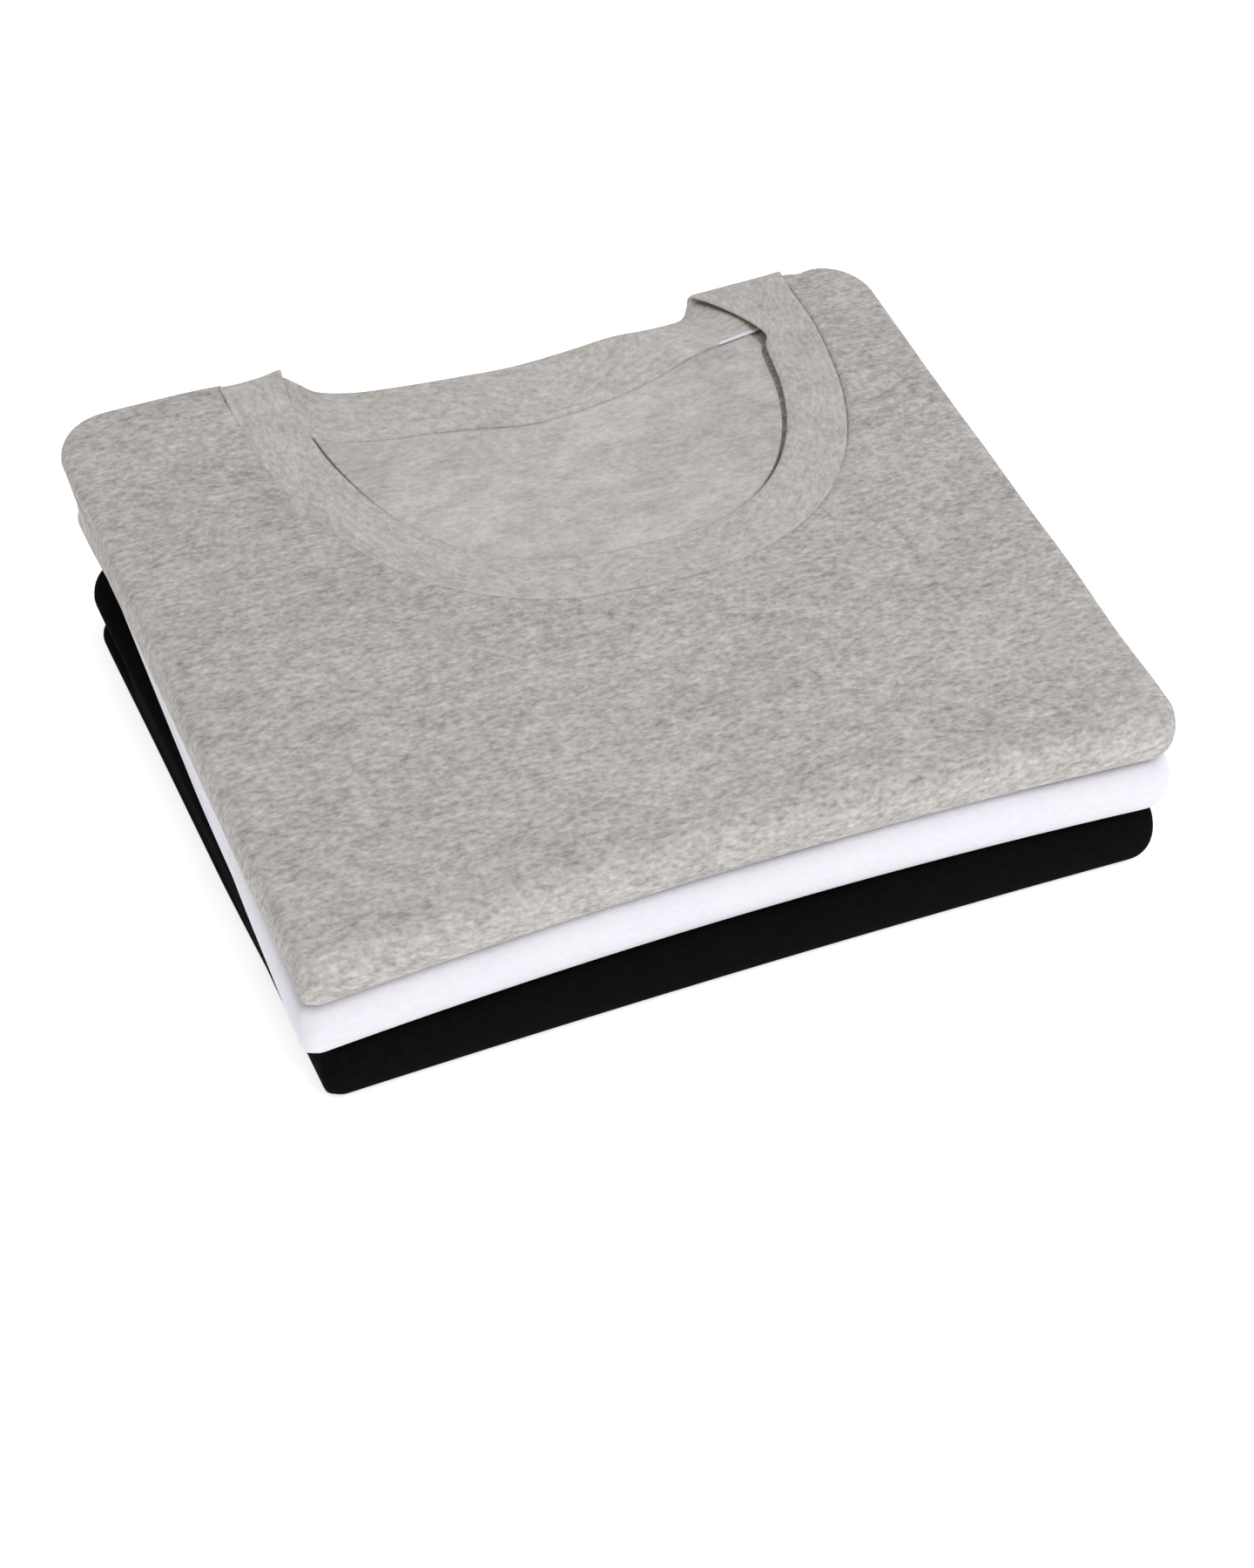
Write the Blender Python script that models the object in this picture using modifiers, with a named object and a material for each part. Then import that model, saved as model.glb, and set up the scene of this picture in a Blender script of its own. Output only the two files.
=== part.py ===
"""A stack of three folded crew-neck t-shirts: grey marl on white on black.

Metres, +Z up. The shirts lie face up with their necks at the back edge, +Y. The origin is on the surface
that the stack rests on, in the middle of its footprint.

Each shirt has both sides folded in behind it, its hem folded up and its lower half folded under, so that
the front panel is the outermost cloth all round: top face, side rolls, front fold and underside.
"""
import math

import bmesh
import bpy
import numpy as np

# Cloth
CLOTH = 0.0012            # wall of one layer of jersey
RIB = 0.0015              # the neckband, which is rib folded double
GAP = 0.0003              # between pieces that touch

# One folded shirt
HEIGHT = 0.0194           # from its underside to its top face
BACK_RADIUS = 0.020       # of the outline's corners at the shoulders
LEFT_RADIUS = 0.0055      # of the left one at the front fold
RIGHT_RADIUS = 0.0090     # of the right one
RIM = 0.0115              # how far the rounded rim and its grooves reach in from the outline
RIM_RADIUS = 0.0015       # of the sharpest corner that far in
FRONT_ROUND = 0.0090      # how far in the front fold's rounding starts

# The rolls that the layers make at a shirt's sides: upper part, folded-up hem, lower part
ROLL_REACH = 0.0042       # how far in a roll's rounding starts
ROLL_POINTS = 5           # on the upper and on the lower roll
HEM_POINTS = 4            # on the hem's roll
HEM_ROLL = (0.0044, 0.0025, 0.0034)  # the hem's roll: height, setback from the other two, and reach
HEM_LEFT = (0.0028, 0.0069, 0.0012)  # what is left of it where the hem has ended, deep in the groove
HEM_LENGTH = 0.150        # how far the hem reaches from the back edge
HEM_FADE = 0.050          # the length over which its roll dies away
NOTCH = 0.0006            # opening between two rolls
GROOVE = 0.0085           # how far in the groove between two rolls reaches
UPPER_SHARE = 0.53        # the upper roll's share of what the hem leaves

# Levels at the back edge, down from the top face
SHOULDER_ROUND = 0.0024   # how far in the front panel's shoulder edge starts to turn down
SHOULDER_EDGE = 0.0012    # where the front panel ends, over the back panel's edge
SLOT_BOTTOM = 0.0086      # top of the lower fold
SHORTER_OVER = (0.100, 0.020)  # from the shoulder line: where the lower half draws back to its own edge
RISE_OVER = 0.0052        # height above the slot over which a rise of the top face fades in
LOWER_ROUND = 0.0060      # how far in the lower fold's rounding starts
PANEL_LEVEL = 0.0023      # top of the back panel
LAYERS_LEVEL = 0.0063     # top of the folded layers

# Neckline of the front panel and free edge of the band, on the plan: half widths, depths below the
# shoulder line and the powers of the two superellipses
SEAM = (0.1085, 0.1590, 2.43)
FREE = (0.0870, 0.1370, 2.51)
SHOULDER_LINE = 0.141     # where the table of the band's sections has it
CUT_DEPTH = 0.004         # how far down the neckline is cut

# Back panel
PANEL_LENGTH = 0.186      # how far it reaches under the front panel from the shoulder line
PANEL_SIDE = 0.0136       # how far its side edges lie inside the outline
PANEL_BACK = 0.0006       # how far its back edge lies inside the shoulder line
PANEL_EASE = 0.006        # the length over which its edge comes out to that from the corner
NECK_DIP = 0.0018         # how far it sags inside the neck
DIP_PLACE = 0.086         # how far the middle of that sag is from the shoulder line
DIP_REACH = 0.085         # its half width

# Sleeves, folded down along the sides
SLEEVE_WIDTH = 0.058
SLEEVE_CUFF_WIDTH = 0.050
SLEEVE_LENGTH = 0.190
SLEEVE_THICK = 0.0021
SLEEVE_SIDE = 0.0150      # from the shirt's side
SLEEVE_BACK = 0.0090      # from the shoulder line
SLEEVE_RADIUS = 0.012     # of its corners on the plan
SLEEVE_ROUND = 0.3        # how far in its layers' rounded edges reach, in thicknesses

# The three shirts, bottom one first. The left and right columns are the sides' x at the back and at the
# front, and the front and back columns its y at the left and right corners. bow is how far the front edge
# is drawn in between its corners, and shorter how far the lower half ends inside the shoulder line. neck_x
# and neck_y are the neck's centre line and its shoulder points, and stand is 1 where the neckband stands
# up and 0 where it is pressed.
SHIRT_COLUMNS = ("name", "left_back", "left_front", "right_back", "right_front", "front_left", "front_right",
                 "back_left", "back_right", "bow", "shorter", "neck_x", "neck_y", "stand")
SHIRTS = (
    ("black", -0.1520, -0.1393, 0.1500, 0.1405, -0.1420, -0.1418, 0.1130, 0.1200,
     0.002, 0.006, 0.004, 0.118, 0.0),
    ("white", -0.1445, -0.1433, 0.1520, 0.1440, -0.1412, -0.1405, 0.1330, 0.1350,
     0.006, 0.012, 0.010, 0.134, 0.0),
    ("grey", -0.1510, -0.1422, 0.1592, 0.1440, -0.1408, -0.1385, 0.1420, 0.1370,
     0.006, 0.017, 0.0196, 0.141, 1.0),
)
# Where the top face stands proud, on folds beneath it: x, y, reach and height
RISES = {"black": (), "white": (), "grey": ((-0.0980, 0.1440, 0.060, 0.0032),)}
COLOURS = {"black": (0.006, 0.006, 0.007), "white": (0.86, 0.86, 0.90), "grey": (0.43, 0.41, 0.40)}
ROUGHNESS = 0.95

# How finely each shirt is drawn: points along a side, along the front or back and round a corner, the
# shares of the way out from its middle at which its top face has rings, and steps between band sections
DETAIL = {
    "black": (6, 7, 3, (), 1),
    "white": (6, 7, 3, (), 1),
    "grey": (9, 11, 4, (0.55, 0.8), 2),
}

# The neckband where it leaves the front neckline on the right, folds over the right shoulder, crosses the
# back and folds over the left shoulder. A row is one section: the places of its seam and its free edge, x
# from the neck's centre line and y along the plan, whether it lies level with the front panel (1) or with
# the back panel (0), and how far the two edges rise above that where the band stands up.
BAND_COLUMNS = ("seam_x", "seam_y", "free_x", "free_y", "over", "seam_rise", "free_rise")
BAND_BACK = (
    (0.1080, 0.1080, 0.0872, 0.1010, 1.0, 0.0004, 0.0010),
    (0.1088, 0.1240, 0.0840, 0.1120, 1.0, 0.0005, 0.0014),
    (0.1096, 0.1335, 0.0775, 0.1235, 1.0, 0.0006, 0.0020),
    (0.1102, 0.1380, 0.0712, 0.1318, 1.0, 0.0005, 0.0021),
    (0.1103, 0.1389, 0.0698, 0.1329, 0.85, 0.0004, 0.0019),
    (0.1104, 0.1392, 0.0695, 0.1332, 0.5, 0.0003, 0.0015),
    (0.1103, 0.1389, 0.0693, 0.1329, 0.15, 0.0001, 0.0010),
    (0.1096, 0.1376, 0.0685, 0.1316, 0.0, 0.0000, 0.0006),
    (0.1050, 0.1285, 0.0645, 0.1250, 0.0, 0.0000, 0.0014),
    (0.0920, 0.1135, 0.0585, 0.1190, 0.0, 0.0000, 0.0040),
    (0.0610, 0.1058, 0.0455, 0.1165, 0.0, 0.0002, 0.0062),
    (0.0380, 0.0985, 0.0320, 0.1172, 0.0, 0.0002, 0.0070),
    (0.0140, 0.0905, 0.0130, 0.1150, 0.0, 0.0002, 0.0072),
    (-0.0080, 0.0865, -0.0080, 0.1125, 0.0, 0.0002, 0.0072),
    (-0.0260, 0.0890, -0.0270, 0.1128, 0.0, 0.0002, 0.0072),
    (-0.0440, 0.0922, -0.0460, 0.1145, 0.0, 0.0002, 0.0068),
    (-0.0620, 0.0945, -0.0640, 0.1180, 0.0, 0.0002, 0.0058),
    (-0.0800, 0.1000, -0.0765, 0.1240, 0.0, 0.0000, 0.0040),
    (-0.0960, 0.1160, -0.0812, 0.1320, 0.0, -0.0003, -0.0004),
    (-0.1062, 0.1335, -0.0842, 0.1385, 0.0, 0.0000, 0.0003),
    (-0.1083, 0.1388, -0.0850, 0.1401, 0.15, 0.0001, 0.0014),
    (-0.1088, 0.1392, -0.0852, 0.1405, 0.5, 0.0003, 0.0024),
    (-0.1088, 0.1388, -0.0854, 0.1401, 0.85, 0.0005, 0.0030),
    (-0.1087, 0.1365, -0.0858, 0.1385, 1.0, 0.0006, 0.0030),
    (-0.1085, 0.1260, -0.0868, 0.1270, 1.0, 0.0005, 0.0018),
)
BAND_ARC = (174.0, 15.0)  # the front neckline's stretch of the superellipse, in degrees
BAND_FRONT_SECTIONS = 18
BAND_OVER = -0.0009       # level of the band's middle over the front, from the top face
BAND_UNDER = -0.0029      # and at the back
# A section's corners, from the seam out and back: shares of the band's width and of half its thickness
BAND_SECTION = ((0.0, 1.0), (0.93, 1.0), (1.0, 0.4), (1.0, -0.4), (0.93, -1.0), (0.0, -1.0))

# The folded layers from top to bottom: the level, whether it is down from the top face (1) or up from the
# underside (0), and how far inside the outline the layers end at the sides and at the back
LAYER_COLUMNS = ("level", "from_top", "side_inset", "back_inset")
LAYER_ROWS = (
    (LAYERS_LEVEL, 1, 0.0112, 0.0044),
    (0.0066, 1, 0.0106, 0.0036),
    (0.0070, 1, 0.0106, 0.0036),
    (0.0073, 1, 0.0106, 0.0046),
    (0.0076, 1, 0.0106, 0.0036),
    (0.0080, 1, 0.0106, 0.0036),
    (0.0083, 1, 0.0106, 0.0046),
    (0.0083, 1, 0.0106, 0.0095),
    (0.0035, 0, 0.0106, 0.0095),
    (CLOTH + GAP, 0, 0.0125, 0.0120),
)

# Which way the outline faces, along Y: where the rim starts to turn into the front's or the back's, and
# over how much more it does so; where it counts as the back; and where the folded layers come out to the slot
TURN_START = 0.1
TURN_LENGTH = 0.85
FACES_BACK = 0.7
SLOT_START = 0.8


def smooth(t):
    """Eases from 0 to 1 as t does."""
    t = min(max(t, 0.0), 1.0)
    return t * t * (3.0 - 2.0 * t)


def mix(a, b, share):
    return a + (b - a) * share


def rounded_outline(corners, along, round_corner):
    """Points and outward directions round four corners, given as (x, y, radius), anticlockwise from the
    left back one. along says how many steps each side takes, from the left one on."""
    places = [np.array(corner[:2]) for corner in corners]
    edges = [places[(i + 1) % 4] - places[i] for i in range(4)]
    normals = [np.array((e[1], -e[0])) / np.linalg.norm(e) for e in edges]
    arcs = []
    for i, (place, corner) in enumerate(zip(places, corners)):
        before, after = normals[i - 1], normals[i]
        centre = place - (before + after) * corner[2] / (1.0 + before @ after)
        start = math.atan2(before[1], before[0])
        turn = (math.atan2(after[1], after[0]) - start) % (2.0 * math.pi)
        angles = [start + turn * k / round_corner for k in range(round_corner + 1)]
        directions = [np.array((math.cos(a), math.sin(a))) for a in angles]
        arcs.append([(centre + d * corner[2], d) for d in directions])
    found = []
    for i, arc in enumerate(arcs):
        found += arc
        begin, end = arc[-1][0], arcs[(i + 1) % 4][0][0]
        found += [(mix(begin, end, k / along[i]), normals[i]) for k in range(1, along[i])]
    return found


def shirt_outline(shirt, detail, inset=0.0):
    """The folded shirt's outline on the plan, or one this far inside it, as (point, outward direction)."""
    sides, ends, corners = detail[:3]
    radii = (BACK_RADIUS, LEFT_RADIUS, RIGHT_RADIUS, BACK_RADIUS)
    places = (
        (shirt["left_back"] + inset, shirt["back_left"] - inset),
        (shirt["left_front"] + inset, shirt["front_left"] + inset),
        (shirt["right_front"] - inset, shirt["front_right"] + inset),
        (shirt["right_back"] - inset, shirt["back_right"] - inset),
    )
    found = rounded_outline(
        [(*place, max(radius - inset, RIM_RADIUS)) for place, radius in zip(places, radii)],
        (sides, ends, sides, ends),
        corners,
    )
    middle = 0.5 * (shirt["left_front"] + shirt["right_front"])
    half = 0.5 * (shirt["right_front"] - shirt["left_front"])
    for point, direction in found:
        across = min(abs(point[0] - middle) / half, 1.0)
        point[1] += shirt["bow"] * (1.0 - across**2) * max(-direction[1], 0.0)
    return found


def side_at(shirt, side, y):
    """Where the left or the right side lies at this y."""
    front, back = shirt["front_" + side], shirt["back_" + side]
    return mix(shirt[side + "_front"], shirt[side + "_back"], (y - front) / (back - front))


def back_at(shirt, x):
    """Where the shoulder line lies at this x."""
    share = (x - shirt["left_back"]) / (shirt["right_back"] - shirt["left_back"])
    return mix(shirt["back_left"], shirt["back_right"], share)


def drawn_back(shirt, x, y):
    """How far the lower half is drawn back at this place."""
    start, end = SHORTER_OVER
    return shirt["shorter"] * smooth((y - back_at(shirt, x) + start) / (start - end))


def rise_at(shirt, x, y):
    """How far the top face stands proud here."""
    return sum(
        height * smooth(1.0 - math.hypot(x - at_x, y - at_y) / reach)
        for at_x, at_y, reach, height in RISES[shirt["name"]]
    )


def roll(top, bottom, setback, reach, points):
    """(inset, z) down one roll, half an ellipse."""
    middle, half = 0.5 * (top + bottom), 0.5 * (top - bottom)
    angles = [math.pi * (0.5 - k / (points - 1)) for k in range(points)]
    return [(setback + reach * (1.0 - math.cos(a)), middle + half * math.sin(a)) for a in angles]


def side_profile(hem):
    """The rim at a shirt's side, top to bottom: two rolls, and a third between them where hem is 1."""
    hem_height, setback, reach = mix(np.array(HEM_LEFT), np.array(HEM_ROLL), hem)
    left = HEIGHT - hem_height - 2.0 * NOTCH
    hem_top = HEIGHT - UPPER_SHARE * left - NOTCH
    hem_bottom = hem_top - hem_height
    return (
        roll(HEIGHT, hem_top + NOTCH, 0.0, ROLL_REACH, ROLL_POINTS)
        + [(GROOVE, hem_top + 0.5 * NOTCH)]
        + roll(hem_top, hem_bottom, setback, reach, HEM_POINTS)
        + [(GROOVE, hem_bottom - 0.5 * NOTCH)]
        + roll(hem_bottom - NOTCH, 0.0, 0.0, ROLL_REACH, ROLL_POINTS)
    )


def back_profile():
    """The rim at the back, top to bottom: the shoulder edge, the slot's walls and the lower fold."""
    edge = roll(HEIGHT, HEIGHT - 2.0 * SHOULDER_EDGE, 0.0, SHOULDER_ROUND, ROLL_POINTS)
    slot = [(GROOVE, HEIGHT - 0.5 * (SHOULDER_EDGE + SLOT_BOTTOM))]
    return edge + slot + roll(HEIGHT - SLOT_BOTTOM, 0.0, 0.0, LOWER_ROUND, HEM_POINTS + 1 + ROLL_POINTS)


SLOT_FIRST = ROLL_POINTS // 2        # the row of the rim at which the shoulder edge ends
SLOT_LAST = ROLL_POINTS + 1          # and the one at which the lower fold starts


def rim_profile(shirt, point, direction):
    """The rim at one point of the outline, as (inset, z) from top to bottom."""
    front = smooth((-direction[1] - TURN_START) / TURN_LENGTH)
    back = smooth((direction[1] - TURN_START) / TURN_LENGTH)
    hem = smooth((point[1] - back_at(shirt, point[0]) + HEM_LENGTH) / HEM_FADE)
    profiles = (
        (1.0 - front - back, side_profile(hem)),
        (front, roll(HEIGHT, 0.0, 0.0, FRONT_ROUND, 2 * ROLL_POINTS + HEM_POINTS + 2)),
        (back, back_profile()),
    )
    return sum(share * np.array(profile) for share, profile in profiles)


def new_object(name, mesh_builder, colour, collection):
    mesh = bpy.data.meshes.new(name)
    mesh_builder.to_mesh(mesh)
    mesh_builder.free()
    mesh.shade_smooth()
    mesh.set_sharp_from_angle(angle=math.radians(50))
    made = bpy.data.objects.new(name, mesh)
    collection.objects.link(made)
    if colour:
        mesh.materials.append(cloth_material(name, colour))
    return made


def cloth_material(name, colour):
    material = bpy.data.materials.new(name)
    material.use_nodes = True
    surface = material.node_tree.nodes["Principled BSDF"]
    surface.inputs["Base Color"].default_value = (*colour, 1.0)
    surface.inputs["Roughness"].default_value = ROUGHNESS
    surface.inputs["Metallic"].default_value = 0.0
    material.diffuse_color = (*colour, 1.0)
    return material


def loft(rings, close_ring=True, close_loft=False, caps=False, skip=None):
    """A surface through rings of points, each as many. It faces out where the rings run anticlockwise
    seen from above and follow each other downwards. skip leaves out a face by ring and column."""
    bm = bmesh.new()
    verts = [[bm.verts.new(point) for point in ring] for ring in rings]
    columns = len(rings[0]) if close_ring else len(rings[0]) - 1
    for r in range(len(rings) if close_loft else len(rings) - 1):
        upper, lower = verts[r], verts[(r + 1) % len(verts)]
        for c in range(columns):
            if not (skip and skip(r, c)):
                d = (c + 1) % len(upper)
                bm.faces.new((upper[c], lower[c], lower[d], upper[d]))
    if caps:
        bm.faces.new(verts[0])
        bm.faces.new(reversed(verts[-1]))
    return bm


def add_wall(made, thickness):
    """Gives an outer surface its thickness, inwards."""
    wall = made.modifiers.new("wall", "SOLIDIFY")
    wall.thickness = thickness
    wall.offset = -1.0
    return wall


def front_panel(shirt, base, collection, cutters):
    """The outermost cloth of one shirt: a wall open at the neckline and in the slot under the shoulders."""
    name, detail = shirt["name"], DETAIL[shirt["name"]]
    outline, inner = shirt_outline(shirt, detail), shirt_outline(shirt, detail, RIM)
    profiles = [rim_profile(shirt, point, direction) for point, direction in outline]
    middle = np.mean([point for point, _ in outline], axis=0)

    def place(column, inset, z, lower):
        x, y = mix(outline[column][0], inner[column][0], inset / RIM)
        raised = smooth((z - HEIGHT + SLOT_BOTTOM) / RISE_OVER) * rise_at(shirt, x, y)
        return (x, y - lower * drawn_back(shirt, x, y), base + z + raised)

    columns = range(len(outline))
    rings = []
    for share in (*detail[3], 1.0):
        ring = [mix(middle, inner[column][0], share) for column in columns]
        rings.append([(x, y, base + HEIGHT + rise_at(shirt, x, y)) for x, y in ring])
    first_row = len(rings)
    for row in range(len(profiles[0])):
        lower = smooth(row - SLOT_LAST + 1.5)
        rings.append([place(column, *profiles[column][row], lower) for column in columns])
    rings.append([place(column, RIM, 0.0, 1.0) for column in columns])
    slot_rows = range(first_row + SLOT_FIRST, first_row + SLOT_LAST)
    at_back = [direction[1] > FACES_BACK for _, direction in outline]

    def in_slot(r, c):
        return r in slot_rows and at_back[c] and at_back[(c + 1) % len(at_back)]

    made = new_object(name + "_front_panel", loft(rings, caps=True, skip=in_slot), COLOURS[name], collection)
    add_wall(made, CLOTH)
    neckline = made.modifiers.new("neckline", "BOOLEAN")
    neckline.operation = "DIFFERENCE"
    neckline.object = neck_cutter(shirt, base, cutters)
    return made


def neck_point(shirt, ellipse, degrees):
    """A point of the neckline's or the free edge's superellipse, 0 at the right shoulder."""
    half_width, depth, power = ellipse
    across, down = math.cos(math.radians(degrees)), math.sin(math.radians(degrees))
    x = half_width * math.copysign(abs(across) ** (2.0 / power), across)
    return np.array((shirt["neck_x"] + x, shirt["neck_y"] - depth * abs(down) ** (2.0 / power)))


def neck_seam(shirt, over):
    """The edge of the front panel (over) or of the back panel at the neckband's seam, on the plan and from
    one shoulder fold to the other: a gap outside the band's own edge, and more where the band turns over."""
    seam = band_curve(shirt)[:, 0]
    lies = seam[:, 3] >= 0.5 if over else seam[:, 3] <= 0.5
    first = next(k for k in range(len(seam)) if lies[k] and not lies[k - 1])
    seam = np.roll(seam, -first, axis=0)[: np.count_nonzero(lies)]
    ahead = np.gradient(seam[:, :2], axis=0)
    ahead[0], ahead[-1] = ahead[1], ahead[-2]
    ahead /= np.linalg.norm(ahead, axis=1)[:, None]
    away = np.stack((ahead[:, 1], -ahead[:, 0]), axis=1)
    gap = GAP + RIB * np.clip(1.0 - np.abs(2.0 * seam[:, 3] - 1.0), 0.0, 1.0)
    return seam[:, :2] + away * gap[:, None] * (1.0 if over else -1.0)


def neck_cutter(shirt, base, cutters):
    """Cuts the neckline out of the front panel's top face, right through its shoulder edge."""
    curve = neck_seam(shirt, True)
    past_edge = np.array((0.0, 2.0 * BACK_RADIUS))
    points = [curve[0] + past_edge, *curve, curve[-1] + past_edge]
    bottom, top = base + HEIGHT - CUT_DEPTH, base + HEIGHT + CUT_DEPTH
    rings = [[(*p, level) for p in points] for level in (top, bottom)]
    cutter = new_object(shirt["name"] + "_neck_cutter", loft(rings, caps=True), None, cutters)
    cutter.hide_render = True
    cutter.display_type = "WIRE"
    return cutter


def panel_level(shirt, x, y):
    """How far the back panel's top lies below the shirt's top face."""
    across = smooth(1.0 - abs(x - shirt["neck_x"]) / DIP_REACH)
    along = smooth(1.0 - abs(y - shirt["neck_y"] + DIP_PLACE) / DIP_REACH)
    return PANEL_LEVEL + NECK_DIP * across * along


def shoulder_edge(shirt, x, from_side):
    """The back panel's back edge along Y at this x, this far from the shirt's side: it follows the rounded
    corner inside the front panel's rim, then comes out to the shoulder line."""
    radius = BACK_RADIUS - PANEL_SIDE
    inside = min(max(BACK_RADIUS - from_side, 0.0), radius)
    drop = radius - math.sqrt(radius**2 - inside**2)
    inset = mix(PANEL_SIDE, PANEL_BACK, smooth((from_side - BACK_RADIUS) / PANEL_EASE))
    return back_at(shirt, x) - inset - drop


def back_panel(shirt, base, collection):
    """The back of the shirt from its shoulder edge to where the front panel hides it for good."""
    neckline = []
    for point in neck_seam(shirt, False)[::-1]:
        if not neckline or point[0] > neckline[-1][0] + GAP:
            neckline.append(point)
    room = np.array((2.0 * GAP, 0.0))
    ends = [neckline[0] - room, neckline[-1] + room]
    left, right = shirt["left_back"], shirt["right_back"]
    from_side = [PANEL_SIDE, 0.5 * (PANEL_SIDE + BACK_RADIUS), BACK_RADIUS, BACK_RADIUS + PANEL_EASE]
    columns = [(left + d, shoulder_edge(shirt, left + d, d)) for d in from_side]
    columns += [(ends[0][0], shoulder_edge(shirt, ends[0][0], ends[0][0] - left))]
    columns += [tuple(point) for point in neckline]
    columns += [(ends[1][0], shoulder_edge(shirt, ends[1][0], right - ends[1][0]))]
    columns += [(right - d, shoulder_edge(shirt, right - d, d)) for d in reversed(from_side)]
    rows = 3 * DETAIL[shirt["name"]][4]
    rings = []
    for k in range(rows + 1):
        ring = []
        for x, edge in columns:
            y = mix(edge, shirt["neck_y"] - PANEL_LENGTH, k / rows)
            share = (x - left) / (right - left)
            place = mix(side_at(shirt, "left", y), side_at(shirt, "right", y), share)
            place = mix(x, place, k / rows)
            level = base + HEIGHT + rise_at(shirt, place, y) - panel_level(shirt, place, y)
            ring.append((place, y, level))
        rings.append(ring)
    surface = loft(rings, close_ring=False)
    made = new_object(shirt["name"] + "_back_panel", surface, COLOURS[shirt["name"]], collection)
    add_wall(made, CLOTH)
    return made


def band_sections(shirt):
    """(seam, free edge) of each section of the neckband, from the left shoulder round the front and back,
    each as x, y, z down from the top face, and whether it lies over (1) or under (0)."""
    first, last = BAND_ARC
    sections = []
    for k in range(BAND_FRONT_SECTIONS):
        degrees = mix(first, last, k / (BAND_FRONT_SECTIONS - 1))
        seam, free = neck_point(shirt, SEAM, degrees), neck_point(shirt, FREE, degrees)
        sections.append(((*seam, BAND_OVER, 1.0), (*free, BAND_OVER, 1.0)))
    shift = shirt["neck_y"] - SHOULDER_LINE
    for values in BAND_BACK:
        row = dict(zip(BAND_COLUMNS, values))
        seam = (shirt["neck_x"] + row["seam_x"], row["seam_y"] + shift)
        free = (shirt["neck_x"] + row["free_x"], row["free_y"] + shift)
        under = min(BAND_UNDER, -panel_level(shirt, *seam) - 0.5 * CLOTH)
        level = mix(under, BAND_OVER, row["over"])
        sections.append((
            (*seam, level + shirt["stand"] * row["seam_rise"], row["over"]),
            (*free, level + shirt["stand"] * row["free_rise"], row["over"]),
        ))
    sections = np.array(sections)
    for edge in sections.reshape(-1, 4):
        edge[2] += rise_at(shirt, *edge[:2])
    return sections


def band_curve(shirt):
    """The neckband's sections, drawn as finely as the shirt is."""
    return closed_curve(band_sections(shirt), DETAIL[shirt["name"]][4])


def closed_curve(points, steps):
    """Points along a smooth closed curve through these ones."""
    before, after = np.roll(points, 1, axis=0), np.roll(points, -1, axis=0)
    beyond = np.roll(points, -2, axis=0)
    found = []
    for k in range(steps):
        t = k / steps
        found.append(0.5 * (
            2.0 * points + (after - before) * t
            + (2.0 * before - 5.0 * points + 4.0 * after - beyond) * t**2
            + (3.0 * points - before - 3.0 * after + beyond) * t**3
        ))
    return np.stack(found, axis=1).reshape(-1, *points.shape[1:])


def neckband(shirt, base, collection):
    """The rib band, one closed ring: its outer side is up over the front and down across the back."""
    sections = band_curve(shirt)
    seam, free = sections[:, 0, :3], sections[:, 1, :3]
    middle = 0.5 * (seam + free)
    ahead = np.roll(middle, -1, axis=0) - np.roll(middle, 1, axis=0)
    normal = np.cross(ahead, free - seam)
    normal /= np.linalg.norm(normal, axis=1)[:, None]
    rings = []
    for s, f, n in zip(seam, free, normal):
        ring = [s + (f - s) * across + n * (0.5 * RIB * up) for across, up in BAND_SECTION]
        rings.append([(x, y, z + base + HEIGHT) for x, y, z in ring])
    surface = loft(rings, close_loft=True)
    return new_object(shirt["name"] + "_neckband", surface, COLOURS[shirt["name"]], collection)


def sleeve(shirt, base, side, collection):
    """A sleeve pressed flat and turned down along the shirt's side, its two layers showing at the edge."""
    back = shirt["back_" + side] - SLEEVE_BACK
    cuff = back - SLEEVE_LENGTH
    inward = 1.0 if side == "left" else -1.0
    outer_back = side_at(shirt, side, back) + inward * SLEEVE_SIDE
    outer_cuff = side_at(shirt, side, cuff) + inward * SLEEVE_SIDE
    corners = [
        (outer_back, back, SLEEVE_RADIUS),
        (outer_cuff, cuff, SLEEVE_RADIUS),
        (outer_cuff + inward * SLEEVE_CUFF_WIDTH, cuff, SLEEVE_RADIUS),
        (outer_back + inward * SLEEVE_WIDTH, back, SLEEVE_RADIUS),
    ]
    if side == "right":
        corners = [corners[3], corners[2], corners[1], corners[0]]
    outline = rounded_outline(corners, (2, 1, 2, 1), 2)
    floor = base + HEIGHT - LAYERS_LEVEL + GAP
    edge = SLEEVE_ROUND * SLEEVE_THICK
    rows = ((1.0, edge), (0.75, 0.0), (0.5, edge), (0.25, 0.0), (0.0, edge))
    rings = [[(*(p - n * inset), floor + share * SLEEVE_THICK) for p, n in outline] for share, inset in rows]
    name = f"{shirt['name']}_sleeve_{side}"
    return new_object(name, loft(rings, caps=True), COLOURS[shirt["name"]], collection)


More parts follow.
